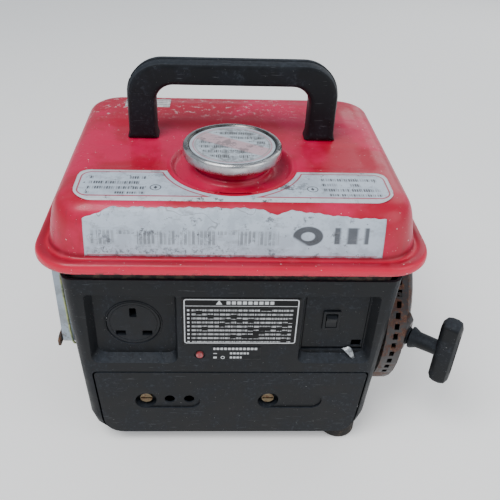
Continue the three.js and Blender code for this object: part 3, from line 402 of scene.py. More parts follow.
def cap_metal():
    """Plated steel cap: satin rings from spinning, brown tarnish and fine pitting."""
    f = Finish("cap_metal", (0.56, 0.56, 0.56), rough=0.25, metal=0.95)
    dx, dy = f.x + 1.0, f.y - 75.0
    radius = (dx * dx + dy * dy).sqrt()
    f.patches((0.26, 0.24, 0.22), 0.4, 0.54, 0.76, 7, 5, 0.7)
    f.patches((0.12, 0.10, 0.09), 0.5, 0.76, 0.82, 1.5, 3, 0.7, shift=6)
    f.layer((0.05, 0.045, 0.04), radius.band(34.6, 36.6, 0.5) * 0.85)
    f.roughen(f.noise(11, 4, shift=3).step(0.4, 0.7) * 0.2)
    f.bump((radius * 2.4).fract(), 0.008).bump(f.noise(1.0, 2), 0.02)
    return f.done()


def bright_steel():
    """Machined steel with fine turning marks and light oil stains."""
    f = Finish("bright_steel", (0.50, 0.50, 0.51), rough=0.26, metal=1.0)
    f.patches((0.25, 0.22, 0.19), 0.6, 0.52, 0.7, 8, 4)
    f.bump((f.x * 2.0).fract(), 0.006)
    return f.done()


def brass_fittings():
    """Dull plated brass with rust in the corners, and paler edges that are partly wear and partly a
    painted highlight.
    """
    f = Finish("brass_fittings", (0.17, 0.125, 0.07), rough=0.48, metal=0.8)
    f.patches((0.12, 0.055, 0.03), 0.85, 0.46, 0.62, 2.4, 4, 0.7)
    # Paler edges: partly rubbed wear, partly a painted highlight.
    f.layer((0.36, 0.31, 0.21), f.edges() * 0.6)
    f.bump(f.noise(0.7, 3), 0.06)
    return f.done()


def black_rubber():
    """Worn rubber, brown with dried mud."""
    f = Finish("black_rubber", (0.018, 0.016, 0.015), rough=0.78, spec=0.3)
    f.patches((0.085, 0.062, 0.045), 0.75, 0.44, 0.66, 7, 5, 0.7)
    f.layer((0.17, 0.14, 0.11), f.up().step(0.5, 0.95) * 0.35)
    f.bump(f.noise(1.4, 4, 0.65), 0.12)
    return f.done()


def pale_cover():
    """Silver-blue enamel on thin sheet, stained along its lower edge."""
    f = Finish("pale_cover", (0.30, 0.36, 0.43), rough=0.36, metal=0.35, coat=0.2)
    f.patches((0.16, 0.17, 0.18), 0.6, 0.46, 0.7, 18, 5)
    f.layer((0.10, 0.07, 0.05), f.noise(4, 5, 0.7, shift=4).step(0.55, 0.68)
            * f.z.step(150, 98) * 0.8)
    f.layer((0.62, 0.66, 0.70), f.edges() * 0.5)
    f.bump(f.noise(2.0, 2), 0.02)
    return f.done()


def winding_copper():
    """Varnished copper wire wound round the stator, seen as fine turns with painted shade in the
    grooves between them.
    """
    f = Finish("winding_copper", (0.32, 0.10, 0.03), rough=0.34, metal=0.6, coat=0.5)
    turn = (f.x * 1.1 + f.noise(10, 2) * 1.5).fract()
    # Painted shade: a dark band at the edge of each turn stands for the groove between wires.
    f.layer((0.07, 0.02, 0.01), turn.band(0.0, 0.25, 0.06) * 0.8)
    f.patches((0.12, 0.07, 0.04), 0.6, 0.5, 0.7, 12, 4, shift=2)
    f.bump(turn, 0.12)
    return f.done()


def rope():
    """Braided cord: crossing diagonal strands with painted shade in the gaps between them, greyed
    by handling.
    """
    f = Finish("rope", (0.45, 0.42, 0.36), rough=0.85)
    a = ((f.x + f.z) * 0.9).fract().band(0.1, 0.8, 0.12)
    b = ((f.y - f.z) * 0.9).fract().band(0.1, 0.8, 0.12)
    # Painted shade: darker in the gaps round the crossings of the strands.
    f.layer((0.16, 0.14, 0.12), (a * b).inv() * 0.6)
    f.patches((0.09, 0.08, 0.07), 0.6, 0.5, 0.7, 5, 4)
    f.bump(a + b, 0.12)
    return f.done()


def foam():
    """Open-cell foam, oiled brown."""
    f = Finish("foam", (0.09, 0.075, 0.045), rough=0.95)
    f.patches((0.012, 0.01, 0.008), 0.9, 0.52, 0.58, 1.4, 3, 0.6)
    f.bump(f.noise(1.4, 3, 0.6), 0.5)
    return f.done()


def ceramic():
    """Glazed white insulator with a soot-stained foot."""
    f = Finish("ceramic", (0.62, 0.60, 0.56), rough=0.22, coat=0.6)
    f.patches((0.18, 0.13, 0.09), 0.6, 0.5, 0.72, 6, 4)
    f.bump(f.noise(1.2, 2), 0.02)
    return f.done()


def button_red():
    """Faded red plastic button with a dark worn rim."""
    f = Finish("button_red", (0.30, 0.035, 0.040), rough=0.45)
    f.patches((0.50, 0.20, 0.20), 0.5, 0.45, 0.65, 1.6, 3)
    f.patches((0.06, 0.02, 0.02), 0.7, 0.58, 0.7, 3, 4, shift=4)
    f.bump(f.noise(0.8, 2), 0.03)
    return f.done()


def sticker(name, ground, ink, print_rows, worn=0.5, gloss=1.0):
    """A printed vinyl label on its own UV map in millimetres: print_rows adds the marks,
    then scuffs, grey smears and black rubbed spots age it."""
    f = Finish(name, ground, rough=0.42, coat=0.15 * gloss, coat_rough=0.3, spec=0.5 * gloss)
    u, v = f.uv()
    cloud = f.noise(18, 6, 0.7)
    f.layer([k * 0.72 for k in ground], cloud.step(0.40, 0.66) * 0.6)
    print_rows(f, u, v, ink)
    smear = f.noise(9, 6, 0.8, stretch=(2.4, 1, 1), shift=6)
    f.layer((0.20, 0.21, 0.23), smear.step(0.58, 0.86) * worn * 0.8)
    f.layer((0.035, 0.033, 0.035), f.noise(5.5, 6, 0.8, shift=11).step(0.74, 0.80) * worn * 1.5)
    pale = f.noise(2.2, 4, 0.8, shift=15).step(0.80, 0.86)
    f.layer([min(1, k * 1.25) for k in ground], pale * 0.4)
    f.roughen(smear.step(0.4, 0.7) * 0.25)
    f.bump(f.noise(6, 4), 0.03)
    return f.done()


def distance(u, v, at):
    """Distance of (u, v) from a point on the label."""
    du, dv = u - at[0], v - at[1]
    return (du * du + dv * dv).sqrt()


def round_box(du, dv):
    """Distance outside a box, from du and dv past its sides; negative inside."""
    ou, ov = du.max(0.0), dv.max(0.0)
    return (ou * ou + ov * ov).sqrt() + du.max(dv).min(0.0)


def blocks(u, pitch, low=0.14, soft=0.08):
    """A row of equal blocks, one to each pitch, in place of large letters."""
    return (u / pitch).fract().band(low, 0.86, soft)


FINISHES = {make.__name__: make for make in (
    tank_paint, moulded_black, black_steel, rusty_steel, cast_alloy, cap_metal, bright_steel,
    brass_fittings, black_rubber, pale_cover, winding_copper, rope, foam, ceramic, button_red)}


def finish_for(slot):
    """The one material for a slot, made when it is first asked for."""
    return bpy.data.materials.get(slot + "_finish") or FINISHES[slot]()


# ---- mesh helpers
def piece(name, mesh, material, body, smooth_deg=35.0):
    """Links a finished mesh, gives it its material, shades it, and ties it to its CAD body."""
    obj = bpy.data.objects.new(name, mesh)
    bpy.context.scene.collection.objects.link(obj)
    mesh.materials.clear()
    mesh.materials.append(material)
    mesh.shade_smooth()
    mesh.set_sharp_from_angle(angle=math.radians(smooth_deg))
    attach(obj, body)
    return obj


def grid_mesh(name, points, wrap_u=False, wrap_v=False, uv=None):
    """A mesh from an array of points, rows by columns by 3, in layout millimetres.
    wrap_u joins the last column to the first and wrap_v the last row to the first."""
    rows, cols = points.shape[:2]
    index = np.arange(rows * cols).reshape(rows, cols)
    r = index if wrap_v else index[:-1]
    below = np.roll(index, -1, axis=0) if wrap_v else index[1:]
    if wrap_u:
        quads = np.stack([r, np.roll(r, -1, axis=1), np.roll(below, -1, axis=1), below], axis=-1)
    else:
        quads = np.stack([r[:, :-1], r[:, 1:], below[:, 1:], below[:, :-1]], axis=-1)
    quads = quads.reshape(-1, 4)
    mesh = bpy.data.meshes.new(name)
    mesh.from_pydata(row(points.reshape(-1, 3)).tolist(), [], quads.tolist())
    if uv is not None:
        layer = mesh.uv_layers.new(name="UVMap")
        flat = (uv.reshape(-1, 2) / 1000)[quads.reshape(-1)]
        layer.data.foreach_set("uv", flat.reshape(-1).astype(np.float32))
    mesh.update()
    return mesh


def close_ends(mesh):
    """Fills every open rim with a face and turns all faces outwards."""
    bm = bmesh.new()
    bm.from_mesh(mesh)
    bmesh.ops.remove_doubles(bm, verts=bm.verts, dist=1e-6)
    bmesh.ops.holes_fill(bm, edges=bm.edges, sides=0)
    bmesh.ops.recalc_face_normals(bm, faces=bm.faces)
    bm.to_mesh(mesh)
    bm.free()
    return mesh


def circle(count):
    """Angles spaced evenly round a circle."""
    return np.linspace(0, 2 * np.pi, count, endpoint=False)


def turned(at, n, a, b, r, h, count):
    """A profile turned about the axis n through a point: at each height h along n stands a
    circle of radius r that runs from a towards b."""
    turn = circle(count)[None, :, None]
    r, h = (np.asarray(k)[:, None, None] for k in (r, h))
    n, a, b = (np.asarray(k, dtype=float) for k in (n, a, b))
    return at + h * n + r * (np.cos(turn) * a + np.sin(turn) * b)


def pipe_points(path, radius, sides=12):
    """A circle carried along a path: at each point the circle lies across the tangent."""
    path = np.asarray(path, dtype=float)
    tangent = np.gradient(path, axis=0)
    tangent /= np.linalg.norm(tangent, axis=1, keepdims=True)
    ref = np.where(np.abs(tangent[:, 2:3]) > 0.9, [[1.0, 0, 0]], [[0, 0, 1.0]])
    a = np.cross(tangent, ref)
    a /= np.linalg.norm(a, axis=1, keepdims=True)
    b = np.cross(tangent, a)
    turn = circle(sides)
    r = np.broadcast_to(np.asarray(radius, dtype=float), (len(path),))[:, None, None]
    return (path[:, None] + r * (np.cos(turn)[None, :, None] * a[:, None]
                                 + np.sin(turn)[None, :, None] * b[:, None]))


def smooth_path(points, steps=24):
    """A Catmull-Rom curve through the points, sampled evenly in its parameter."""
    p = np.asarray(points, dtype=float)
    p = np.vstack([2 * p[0] - p[1], p, 2 * p[-1] - p[-2]])
    t = np.linspace(0, len(p) - 3, steps)
    k = np.minimum(t.astype(int), len(p) - 4)
    f = (t - k)[:, None]
    a, b, c, d = p[k], p[k + 1], p[k + 2], p[k + 3]
    return 0.5 * (2 * b + (c - a) * f + (2 * a - 5 * b + 4 * c - d) * f ** 2
                  + (3 * b - a - 3 * c + d) * f ** 3)


# CAD nodes that have a piece; running_gear carries over the others.
HANDLED = {"tank_upper_shell", "fuel_cap"}
MERGE = 2e-6       # metres between points of a CAD node that are one point
FLAT_DEG = 0.6     # faces that turn less than this are one flat face
BEVEL_DEG = 38     # edges that turn more than this are rounded
VINYL = 0.00012    # metres, thickness of a sticker


def thicken(obj, name, thickness, offset=-1):
    """Gives a surface a wall."""
    wall = obj.modifiers.new(name, "SOLIDIFY")
    wall.thickness, wall.offset = thickness, offset


def label(name, points, uv, material):
    """A thin vinyl sheet on the frame, with its own UV map in millimetres."""
    mesh = grid_mesh(name, points, uv=uv)
    thicken(piece(name, mesh, material, "frame", 60), "vinyl", VINYL)


def closed(name, points, slot, material=None, smooth_deg=35.0, wrap_v=False):
    """A closed surface on the frame, its columns joined and its open rims filled."""
    mesh = close_ends(grid_mesh(name, points, wrap_u=True, wrap_v=wrap_v))
    piece(name, mesh, material or finish_for(slot), "frame", smooth_deg)


def carried(node, bevel=0.0, smooth_deg=35.0, material=None):
    """A merged copy of a CAD node, with small rounded edges, that stands for the node."""
    source = frame["nodes"][node]
    mesh = source.data.copy()
    mesh.name = node + "_skin"
    bm = bmesh.new()
    bm.from_mesh(mesh)
    bmesh.ops.remove_doubles(bm, verts=bm.verts, dist=MERGE)
    bmesh.ops.dissolve_limit(bm, angle_limit=math.radians(FLAT_DEG), verts=bm.verts,
                             edges=bm.edges)
    bm.to_mesh(mesh)
    bm.free()
    slot = SLOT_OF[node]
    obj = piece(node + "_skin", mesh, material or finish_for(slot), BODY_OF[node],
                smooth_deg)
    if bevel:
        mod = obj.modifiers.new("edges", "BEVEL")
        mod.width = bevel
        mod.segments = 2
        mod.limit_method = "ANGLE"
        mod.angle_limit = math.radians(BEVEL_DEG)
        mod.harden_normals = True
        mod.use_clamp_overlap = True
        mod.miter_outer = "MITER_ARC"
        even = obj.modifiers.new("even_shading", "WEIGHTED_NORMAL")
        even.mode, even.weight, even.keep_sharp = "FACE_AREA", 50, True
    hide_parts(node)
    HANDLED.add(node)


class GeneratorOperator:
    """What every building step shares."""
    bl_options = {"REGISTER", "UNDO"}


# ---- tank
TANK_PROFILE = np.array([
    (3.2, 204.6), (1.5, 204.5), (0.3, 206.0), (0.0, 208.0), (0.2, 210.2), (0.9, 212.2),
    (2.6, 213.5), (5.0, 213.9), (7.2, 213.2), (8.8, 212.7), (10.3, 213.8), (11.2, 217.5),
    (12.5, 224.5), (13.7, 231.5), (15.0, 238.0), (16.8, 244.0), (19.2, 248.8), (23.0, 252.4),
    (28.0, 254.8), (33.0, 255.8), (36.0, 256.0)])
FRONT, REAR = -11.0, 246.0   # y of the flange, front and back
HALF = 155.0                 # half its width
DECK_TOP = 256.0
FILLER = np.array([-1.0, 75.0])


def evenly(line, count, endpoint=True):
    """A line's points resampled evenly by arc length."""
    run = np.r_[0, np.cumsum(np.linalg.norm(np.diff(line, axis=0), axis=1))]
    t = np.linspace(0, run[-1], count, endpoint=endpoint)
    return np.stack([np.interp(t, run, line[:, k]) for k in (0, 1)], 1)


def dense(profile, count):
    """A smooth curve through the profile, resampled evenly."""
    return evenly(smooth_path(profile, count * 4), count)


def rounded_ring(inset, count, half):
    """Points round a rectangle with round corners, drawn in by inset and spaced evenly
    along the outline: a quarter circle at each corner, joined by straight sides."""
    x1, x0 = half - inset, -half + inset
    y1, y0 = REAR - inset, FRONT + inset
    r = max(8.0, 36.0 - 0.5 * inset)
    corners = [(x1 - r, y0 + r, -90), (x1 - r, y1 - r, 0), (x0 + r, y1 - r, 90),
               (x0 + r, y0 + r, 180)]
    arc = np.radians(np.linspace(0, 90, 24))
    outline = np.vstack([np.stack([cx + r * np.cos(arc + np.radians(s)),
                                   cy + r * np.sin(arc + np.radians(s))], 1)
                         for cx, cy, s in corners])
    return evenly(np.vstack([outline, outline[:1]]), count, endpoint=False)


def deck_height(x, y):
    """Height of the flat deck: a rear step, and a shallow tray on each side of the dish.
    Each step is the cubic 3t^2 - 2t^3."""
    def s(v, a, b):
        t = np.clip((v - a) / (b - a), 0, 1)
        return t * t * (3 - 2 * t)
    rear = 2.6 * s(y, 143, 157)
    side = s(np.abs(x), 60, 66) * s(np.abs(x), 122, 116) * s(y, 64, 70) * s(y, 114, 108)
    return DECK_TOP + rear * s(np.hypot(x / 1.25, y - 125), 250, 90) - 0.9 * side


def tank_points():
    """The pressed shell: the flange-and-wall profile carried round the outline, then rings
    that pass from the outline to the dish circle, then the dish and the neck flare."""
    s = sizes()
    half, dish, count = s.tank_half * 1000, s.dish_radius * 1000, s.ring_steps
    rings = []
    for inset, z in dense(TANK_PROFILE, 54):
        ring = rounded_ring(inset, count, half)
        rings.append(np.column_stack([ring, np.full(count, z)]))
    last = rings[-1]
    away = last[:, :2] - FILLER
    angle = np.arctan2(away[:, 1], away[:, 0])
    circle = FILLER + (dish + 1.8) * np.stack([np.cos(angle), np.sin(angle)], 1)
    for t in np.linspace(0, 1, 30)[1:]:
        xy = last[:, :2] * (1 - t) + circle * t
        blend = np.clip(t * 6, 0, 1)
        z = DECK_TOP * (1 - blend) + deck_height(xy[:, 0], xy[:, 1]) * blend
        rings.append(np.column_stack([xy, z]))
    bowl = [(dish + 0.9, 256.4), (dish, 256.3), (dish - 0.8, 255.6), (dish - 2.2, 253.4),
            (dish - 3.4, 251.6), (dish - 5, 251.0), (40, 250.8), (35.5, 251.0),
            (33.4, 251.9), (32.2, 254), (31.8, 256.5)]
    for r, z in bowl:
        xy = FILLER + r * np.stack([np.cos(angle), np.sin(angle)], 1)
        rings.append(np.column_stack([xy, np.full(count, z)]))
    return np.stack(rings)


class GENERATOR_OT_tank(GeneratorOperator, bpy.types.Operator):
    """Build the pressed tank shell, its lower pan and the filler neck"""
    bl_idname = "generator.tank"
    bl_label = "Tank"

    def execute(self, context):
        mesh = grid_mesh("tank_shell", tank_points(), wrap_u=True)
        obj = piece("tank_shell", mesh, finish_for("tank_paint"), "frame", 60)
        thicken(obj, "sheet", 0.0014)
        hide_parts("tank_upper_shell")
        carried("tank_lower_shell")
        carried("filler_neck")
        return {"FINISHED"}


def on_front_wall(x, z, lift):
    """A point on the tank's front wall at height z: inset from the profile, lifted outwards."""
    prof = dense(TANK_PROFILE, 200)
    up = prof[prof[:, 1] > 214.5]
    order = np.argsort(up[:, 1])
    inset = np.interp(z, up[order, 1], up[order, 0])
    slope = np.gradient(up[order, 0], up[order, 1] + np.arange(len(order)) * 1e-6)
    g = np.interp(z, up[order, 1], slope)
    n = np.stack([np.zeros_like(g), -1 / np.sqrt(1 + g * g), g / np.sqrt(1 + g * g)], -1)
    return np.stack([x, FRONT + inset, z], -1) + lift * n


def banner_print(f, u, v, ink):
    """A wide printed band: a thin line at the foot, worn bars in place of words, grime and
    creases, and a plain ring and posts at the right."""
    f.layer((0.45, 0.02, 0.03), v.band(1.6, 2.4, 0.25) * u.band(3, 222, 0.5) * 0.7)
    bars = f.lines(u, v - 6.0, 20.0, 0.56, 15.0, 0.37)
    bars = bars * v.band(9, 26, 0.5) * u.band(6, 146, 0.8)
    f.layer((0.17, 0.185, 0.205), bars * f.noise(6, 5, 0.8, shift=2).step(0.26, 0.46) * 0.8)
    grime = f.noise(3.2, 6, 0.8, shift=33).step(0.52, 0.66) * v.step(13, 3) * u.band(4, 120, 14)
    f.layer((0.06, 0.062, 0.068), grime * 0.75)
    f.patches((0.045, 0.045, 0.05), 0.7, 0.64, 0.80, 14, 6, 0.8, shift=41)
    crease = (f.noise(38, 2, shift=19) - 0.5).abs().step(0.012, 0.003)
    f.layer((0.16, 0.17, 0.185), crease * v.step(18, 24) * 0.6)
    du, dv = u - 168.0, v - 18.0
    blob = ((du * du) / 130.0 + (dv * dv) / 60.0).sqrt()
    f.layer(ink, blob.band(0.45, 1.0, 0.06) * (du * 0.6 + dv).step(-9, -6) * 0.9)
    f.layer(colours().faded, f.noise(7, 5, 0.8, shift=27).step(0.84, 0.87) * v.step(14, 30))
    posts = (u / 13.0).fract().band(0.2, 0.8, 0.1)
    f.layer(ink, u.band(188, 214, 0.6) * v.band(12, 25, 0.6) * posts * 0.85)


def deck_print(f, u, v, ink):
    """Three rows of small print at each end and an icon, inside a thin red line that keeps
    its distance from the round-cornered outline and from the cut round the dish."""
    centre = u.abs()
    inset = round_box(centre - 110.0, (v - 23.0).abs() - 9.5)
    far = distance(u, v, (-1.0, 59.5))
    red = (0.40, 0.012, 0.035)
    f.layer(red, inset.band(8.0, 9.2, 0.25) * far.step(57.4, 58.2) * 0.9)
    f.layer(red, far.band(57.4, 58.6, 0.25) * inset.step(9.2, 8.6) * 0.9)
    f.layer((0.60, 0.61, 0.62), inset.step(9.0, 9.8) * 0.5)
    rows = f.lines(u, v - 4.0, 8.0, 0.52, 9.0, 0.11)
    f.layer(ink, rows * v.band(7, 36, 0.5) * centre.band(68, 112, 0.8) * 0.9)
    icon = (60.0, 17.0)
    f.layer(ink, distance(centre, v, icon).band(3.6, 4.4, 0.25) * 0.9)
    diamond = (centre - icon[0]).abs() * 1.6 + (v - icon[1]).abs()
    f.layer(ink, diamond.band(0.0, 2.4, 0.3) * 0.9)
    soot = f.noise(13, 6, 0.8, shift=37).step(0.60, 0.74) * (centre.step(70, 30) * 0.7 + 0.3)
    f.layer((0.030, 0.028, 0.030), soot * 0.9)


def small_print(f, u, v, ink):
    """A few rows of dashes inside a thin frame."""
    f.layer(ink, f.lines(u, v, 4.4, 0.5, 4.6, 0.21) * 0.9)


class GENERATOR_OT_tank_labels(GeneratorOperator, bpy.types.Operator):
    """Lay the worn stickers on the tank's deck and front wall"""
    bl_idname = "generator.tank_labels"
    bl_label = "Tank labels"

    def execute(self, context):
        ground, ink = (0.50, 0.57, 0.66), (0.028, 0.028, 0.033)
        # Front band: x by arc, z up the wall, with a ragged upper left corner.
        x = np.linspace(-112, 113, 150)
        t = np.linspace(0, 1, 26)
        wave = 0.8 * np.sin(x * 0.33) + 0.6 * np.sin(x * 0.91 + 1)
        top = 251.6 + 0.35 * wave - 7.0 * np.clip((-92 - x) / 20, 0, 1)
        top = top - 5.2 * np.clip((x - 34) / 60, 0, 1) - 3.2 * np.exp(-((x - 30) / 8) ** 2)
        low = 215.4 + 0.25 * wave
        z = low[None] + (top - low)[None] * t[:, None]
        gx = np.broadcast_to(x, z.shape)
        band = sticker("band_print", ground, ink, banner_print, worn=0.75)
        label("front_band", on_front_wall(gx, z, 0.22),
              np.stack([gx + 113, z - 214.5], -1), band)
        # Deck band: from the front edge back, cut away round the dish.
        x = np.linspace(-122, 122, 220)
        out_f, out_b = (np.clip(np.abs(x) - (122 - k), 0, k) for k in (16, 9))
        start = 31.5 - np.sqrt(16.0 ** 2 - out_f ** 2)
        cut = 54.0
        reach = np.sqrt(np.maximum(cut ** 2 - (x - FILLER[0]) ** 2, 0))
        limit = np.where(np.abs(x - FILLER[0]) < cut, FILLER[1] - reach, 99.0)
        end = np.minimum(51.0 + np.sqrt(9.0 ** 2 - out_b ** 2), np.maximum(limit, start + 1))
        y = start[None] + (end - start)[None] * t[:, None]
        gx = np.broadcast_to(x, y.shape)
        band = sticker("deck_print", ground, ink, deck_print, worn=0.7)
        label("deck_band", self.on_deck(gx, y), np.stack([gx, y - 15.5], -1), band)
        # Small sticker behind the left handle leg.
        gx, y = np.meshgrid(np.linspace(-101, -58, 30), np.linspace(184, 204, 16))
        tag = sticker("tag_print", (0.62, 0.60, 0.60), ink, small_print, worn=0.5)
        label("rear_sticker", self.on_deck(gx, y), np.stack([gx + 101, y - 184], -1), tag)
        return {"FINISHED"}

    @staticmethod
    def on_deck(x, y):
        """Points a little above the tank's top, wall rounding included."""
        d = np.minimum.reduce([x + HALF, HALF - x, y - FRONT, REAR - y])
        prof = dense(TANK_PROFILE, 200)
        up = prof[prof[:, 1] > 216]
        edge = np.interp(np.minimum(d, 36), up[:, 0], up[:, 1])
        flat = deck_height(x, y)
        return np.stack([x, y, np.where(d >= 40, flat, np.minimum(edge, flat)) + 0.25], -1)


# ---- cap
def cap_print(f, u, v, ink):
    """A pale pink sector across the round label, dashes in rows inside a dark ring, and
    rubbed-out sooty patches."""
    r = (u * u + v * v).sqrt()
    across = u * 0.50 + v * 0.87
    f.layer((0.56, 0.34, 0.37), across.band(-6, 9, 0.8) * r.step(32, 31) * 0.75)
    f.layer((0.50, 0.12, 0.17), r.band(31.4, 32.2, 0.25) * 0.8)
    f.layer((0.30, 0.30, 0.30), r.band(29.5, 30.6, 0.3) * 0.8)
    outside = across.step(-4, -7) + across.step(10, 12)
    f.layer(ink, f.lines(u, v, 8.5, 0.55, 7.5, 0.43) * r.step(28, 26) * outside * 0.9)
    soot = f.noise(12, 5, 0.8, shift=8).step(0.52, 0.60)
    f.layer((0.10, 0.10, 0.10), soot * r.step(33, 29) * 0.55)


class GENERATOR_OT_cap(GeneratorOperator, bpy.types.Operator):
    """Build the filler cap, its round label and its seal"""
    bl_idname = "generator.cap"
    bl_label = "Filler cap"

    def execute(self, context):
        R = sizes().cap_radius * 1000
        # Shell: a profile of radius and height turned about the filler's axis, closed on top.
        prof = np.array([(0.01, 272.35), (R - 4.9, 272.35), (R - 4.5, 272.6), (R - 4.1, 273.5),
                         (R - 3.4, 273.95), (R - 2.2, 274.0), (R - 1.0, 273.6), (R - 0.2, 272.6),
                         (R, 271.3), (R, 266.6), (R - 0.3, 265.5), (R - 1.2, 264.6),
                         (R - 2.4, 264.5), (R - 3.2, 264.9), (R - 3.4, 266.5), (R - 3.4, 270.5),
                         (26.4, 270.6), (26.4, 246.2), (25.0, 246.2), (25.0, 270.7), (0.01, 270.7)])
        pts = turned((*FILLER, 0), (0, 0, 1), (1, 0, 0), (0, 1, 0), *prof.T, 96)
        mesh = close_ends(grid_mesh("cap_metal_shell", pts, wrap_u=True))
        obj = piece("cap_shell", mesh, finish_for("cap_metal"), "cap", 50)
        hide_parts("fuel_cap")
        # Label: a disc whose height waves three times round, as the sine of the angle.
        turn = circle(96)
        rr = np.linspace(0.3, 34.6, 24)[:, None] * np.ones_like(turn)
        wave = 0.05 * np.sin(3 * turn + rr / 9)
        pts = np.stack([FILLER[0] + rr * np.cos(turn), FILLER[1] + rr * np.sin(turn),
                        272.62 + wave], -1)
        uv = pts[..., :2] - FILLER
        mesh = grid_mesh("cap_label", pts, wrap_u=True, uv=uv)
        disc = sticker("cap_print", (0.50, 0.56, 0.62), (0.05, 0.05, 0.05), cap_print, worn=0.6)
        piece("cap_label", mesh, disc, "cap", 60)
        carried("cap_gasket")
        return {"FINISHED"}


# ---- handle and box
class GENERATOR_OT_handle(GeneratorOperator, bpy.types.Operator):
    """Carry over the handle with softened edges"""
    bl_idname = "generator.handle"
    bl_label = "Carry handle"

    def execute(self, context):
        carried("carry_handle", bevel=0.0025, smooth_deg=50)
        # Mould seam: a low ridge of square section along the handle's arch.
        out, top, bend = 89.6, 324.15, 30.0
        a = np.radians(np.linspace(180, 90, 16))
        left = np.stack([-out + bend + bend * np.cos(a), top - bend + bend * np.sin(a)], 1)
        right = left[::-1] * [-1, 1]
        line = np.vstack([[(-out, 262)], left, right, [(out, 262)]])
        path = np.column_stack([line[:, 0], np.full(len(line), 128.0), line[:, 1]])
        closed("handle_seam", pipe_points(path, 0.55, 8), "moulded_black")
        return {"FINISHED"}


PANEL_SIZE = (96.0, 51.0)


def warning_panel_print(f, u, v, ink):
    """A black panel with a white round-cornered line, a heading of blocks over a rule, and
    nine rows of bulleted small print."""
    w, h = PANEL_SIZE
    corner = 4.0
    edge = round_box((u - w / 2).abs() - (w / 2 - corner), (v - h / 2).abs() - (h / 2 - corner))
    f.layer(ink, edge.band(1.4, 2.3, 0.18))
    f.layer(ink, v.band(44.0, 47.2, 0.3) * u.band(36, 74, 0.4) * blocks(u, 4.4, 0.12))
    triangle = ((u - 30.0).abs() * 1.7 + (v - 43.6)).band(0.2, 4.6, 0.3)
    f.layer(ink, triangle * v.band(43.8, 48.0, 0.2))
    f.layer(ink, v.band(42.0, 42.5, 0.12) * u.band(3, 93, 0.4))
    pitch, first = 4.3, 1.2
    within = v.band(3.0, 41.0, 0.1)
    rows = f.lines(u, v - first, pitch, 0.44, 4.7, 0.57) * within * u.band(8, 90, 0.4)
    f.layer(ink, rows * 0.95)
    bullets = (v / pitch - first / pitch).fract().band(0.28, 0.72, 0.06)
    f.layer(ink, bullets * u.band(4.4, 6.2, 0.15) * within)


def breaker_print(f, u, v, ink):
    """A heading bar of blocks over two short rows, each beside a dash and a small ring."""
    for low, high, left, right, pitch in ((11.2, 13.8, 1, 38, 3.2), (6.2, 8.4, 15, 31, 2.9),
                                          (1.4, 3.6, 15, 25, 2.9)):
        bar = v.band(low, high, 0.2) * u.band(left, right, 0.4) * blocks(u, pitch)
        f.layer(ink, bar * 0.9)
    f.layer(ink, u.band(1, 4, 0.2) * (v.band(6.6, 7.5, 0.2) + v.band(1.4, 3.4, 0.2)) * 0.9)
    f.layer(ink, distance(u, v, (9.0, 2.4)).band(1.1, 1.7, 0.1))


def front_sheet(name, corner, size, steps, material):
    """A flat printed sheet just proud of the control box's face: x and z on an even grid."""
    u, v = np.meshgrid(*(np.linspace(0, w, n) for w, n in zip(size, steps)))
    points = np.stack([u + corner[0], np.full_like(u, -0.18), v + corner[1]], -1)
    label(name, points, np.stack([u, v], -1), material)


class GENERATOR_OT_control_box(GeneratorOperator, bpy.types.Operator):
    """Carry over the control box, its switchgear, its printed panel and the tool cover"""
    bl_idname = "generator.control_box"
    bl_label = "Control box"

    def execute(self, context):
        e = sizes().edge
        carried("control_box", bevel=e * 1.6, smooth_deg=40)
        carried("tool_cover", bevel=e * 1.4, smooth_deg=40)
        glossy = moulded_black("outlet_black", dusty=0.45, gloss=0.12)
        for node, round_by, material in (
                ("outlet_socket", 0.6, glossy), ("switch_plate", 0.4, None),
                ("rocker_switch_body", 0.5, glossy), ("rocker_button", 0.5, glossy),
                ("breaker_body", 0.3, glossy), ("breaker_button", 0.5, None),
                ("cover_screw_left", 0.4, None), ("cover_screw_right", 0.4, None)):
            carried(node, bevel=e * round_by, material=material)
        ink = (0.60, 0.61, 0.62)
        mat = sticker("panel_print", (0.0026, 0.0028, 0.0034), ink, warning_panel_print,
                      worn=0.05, gloss=0.35)
        front_sheet("warning_panel", (-40.5, 124.5), PANEL_SIZE, (60, 34), mat)
        mat = sticker("breaker_print", (0.0030, 0.0038, 0.0054), ink, breaker_print,
                      worn=0.05, gloss=0.45)
        front_sheet("breaker_marks", (-15.5, 107.5), (41, 15), (40, 16), mat)
        # Painted shade: a black rubber strip in the slot between the box and the tank's flange, a
        # dark piece that stands for the shadowed gap.
        side = [(127.5, 50), (127.5, 20), (125, 8), (116, 3.7), (60, 3.6)]
        plan = [(-x, y) for x, y in side] + side[::-1]
        path = smooth_path([(x, y, 195.5) for x, y in plan], 90)
        tall = path[:, None] + (pipe_points(path, 1.0, 12) - path[:, None]) * [1.6, 1.6, 8.4]
        closed("gap_shade_strip", tall, "black_rubber", smooth_deg=60)
        # Raised ring round the outlet and a shallow ridge round its face: each is a small
        # circle turned about the outlet's axis.
        sec = circle(10)
        for name, radius, half in (("outlet_rim", 23.4, 0.7), ("outlet_ridge", 19.6, 0.32)):
            pts = turned((-81, 8.0, 141), (0, -1, 0), (1, 0, 0), (0, 0, 1),
                         radius + half * np.cos(sec), half * np.sin(sec), 72)
            closed(name, pts, "moulded_black", glossy, wrap_v=True)
        return {"FINISHED"}


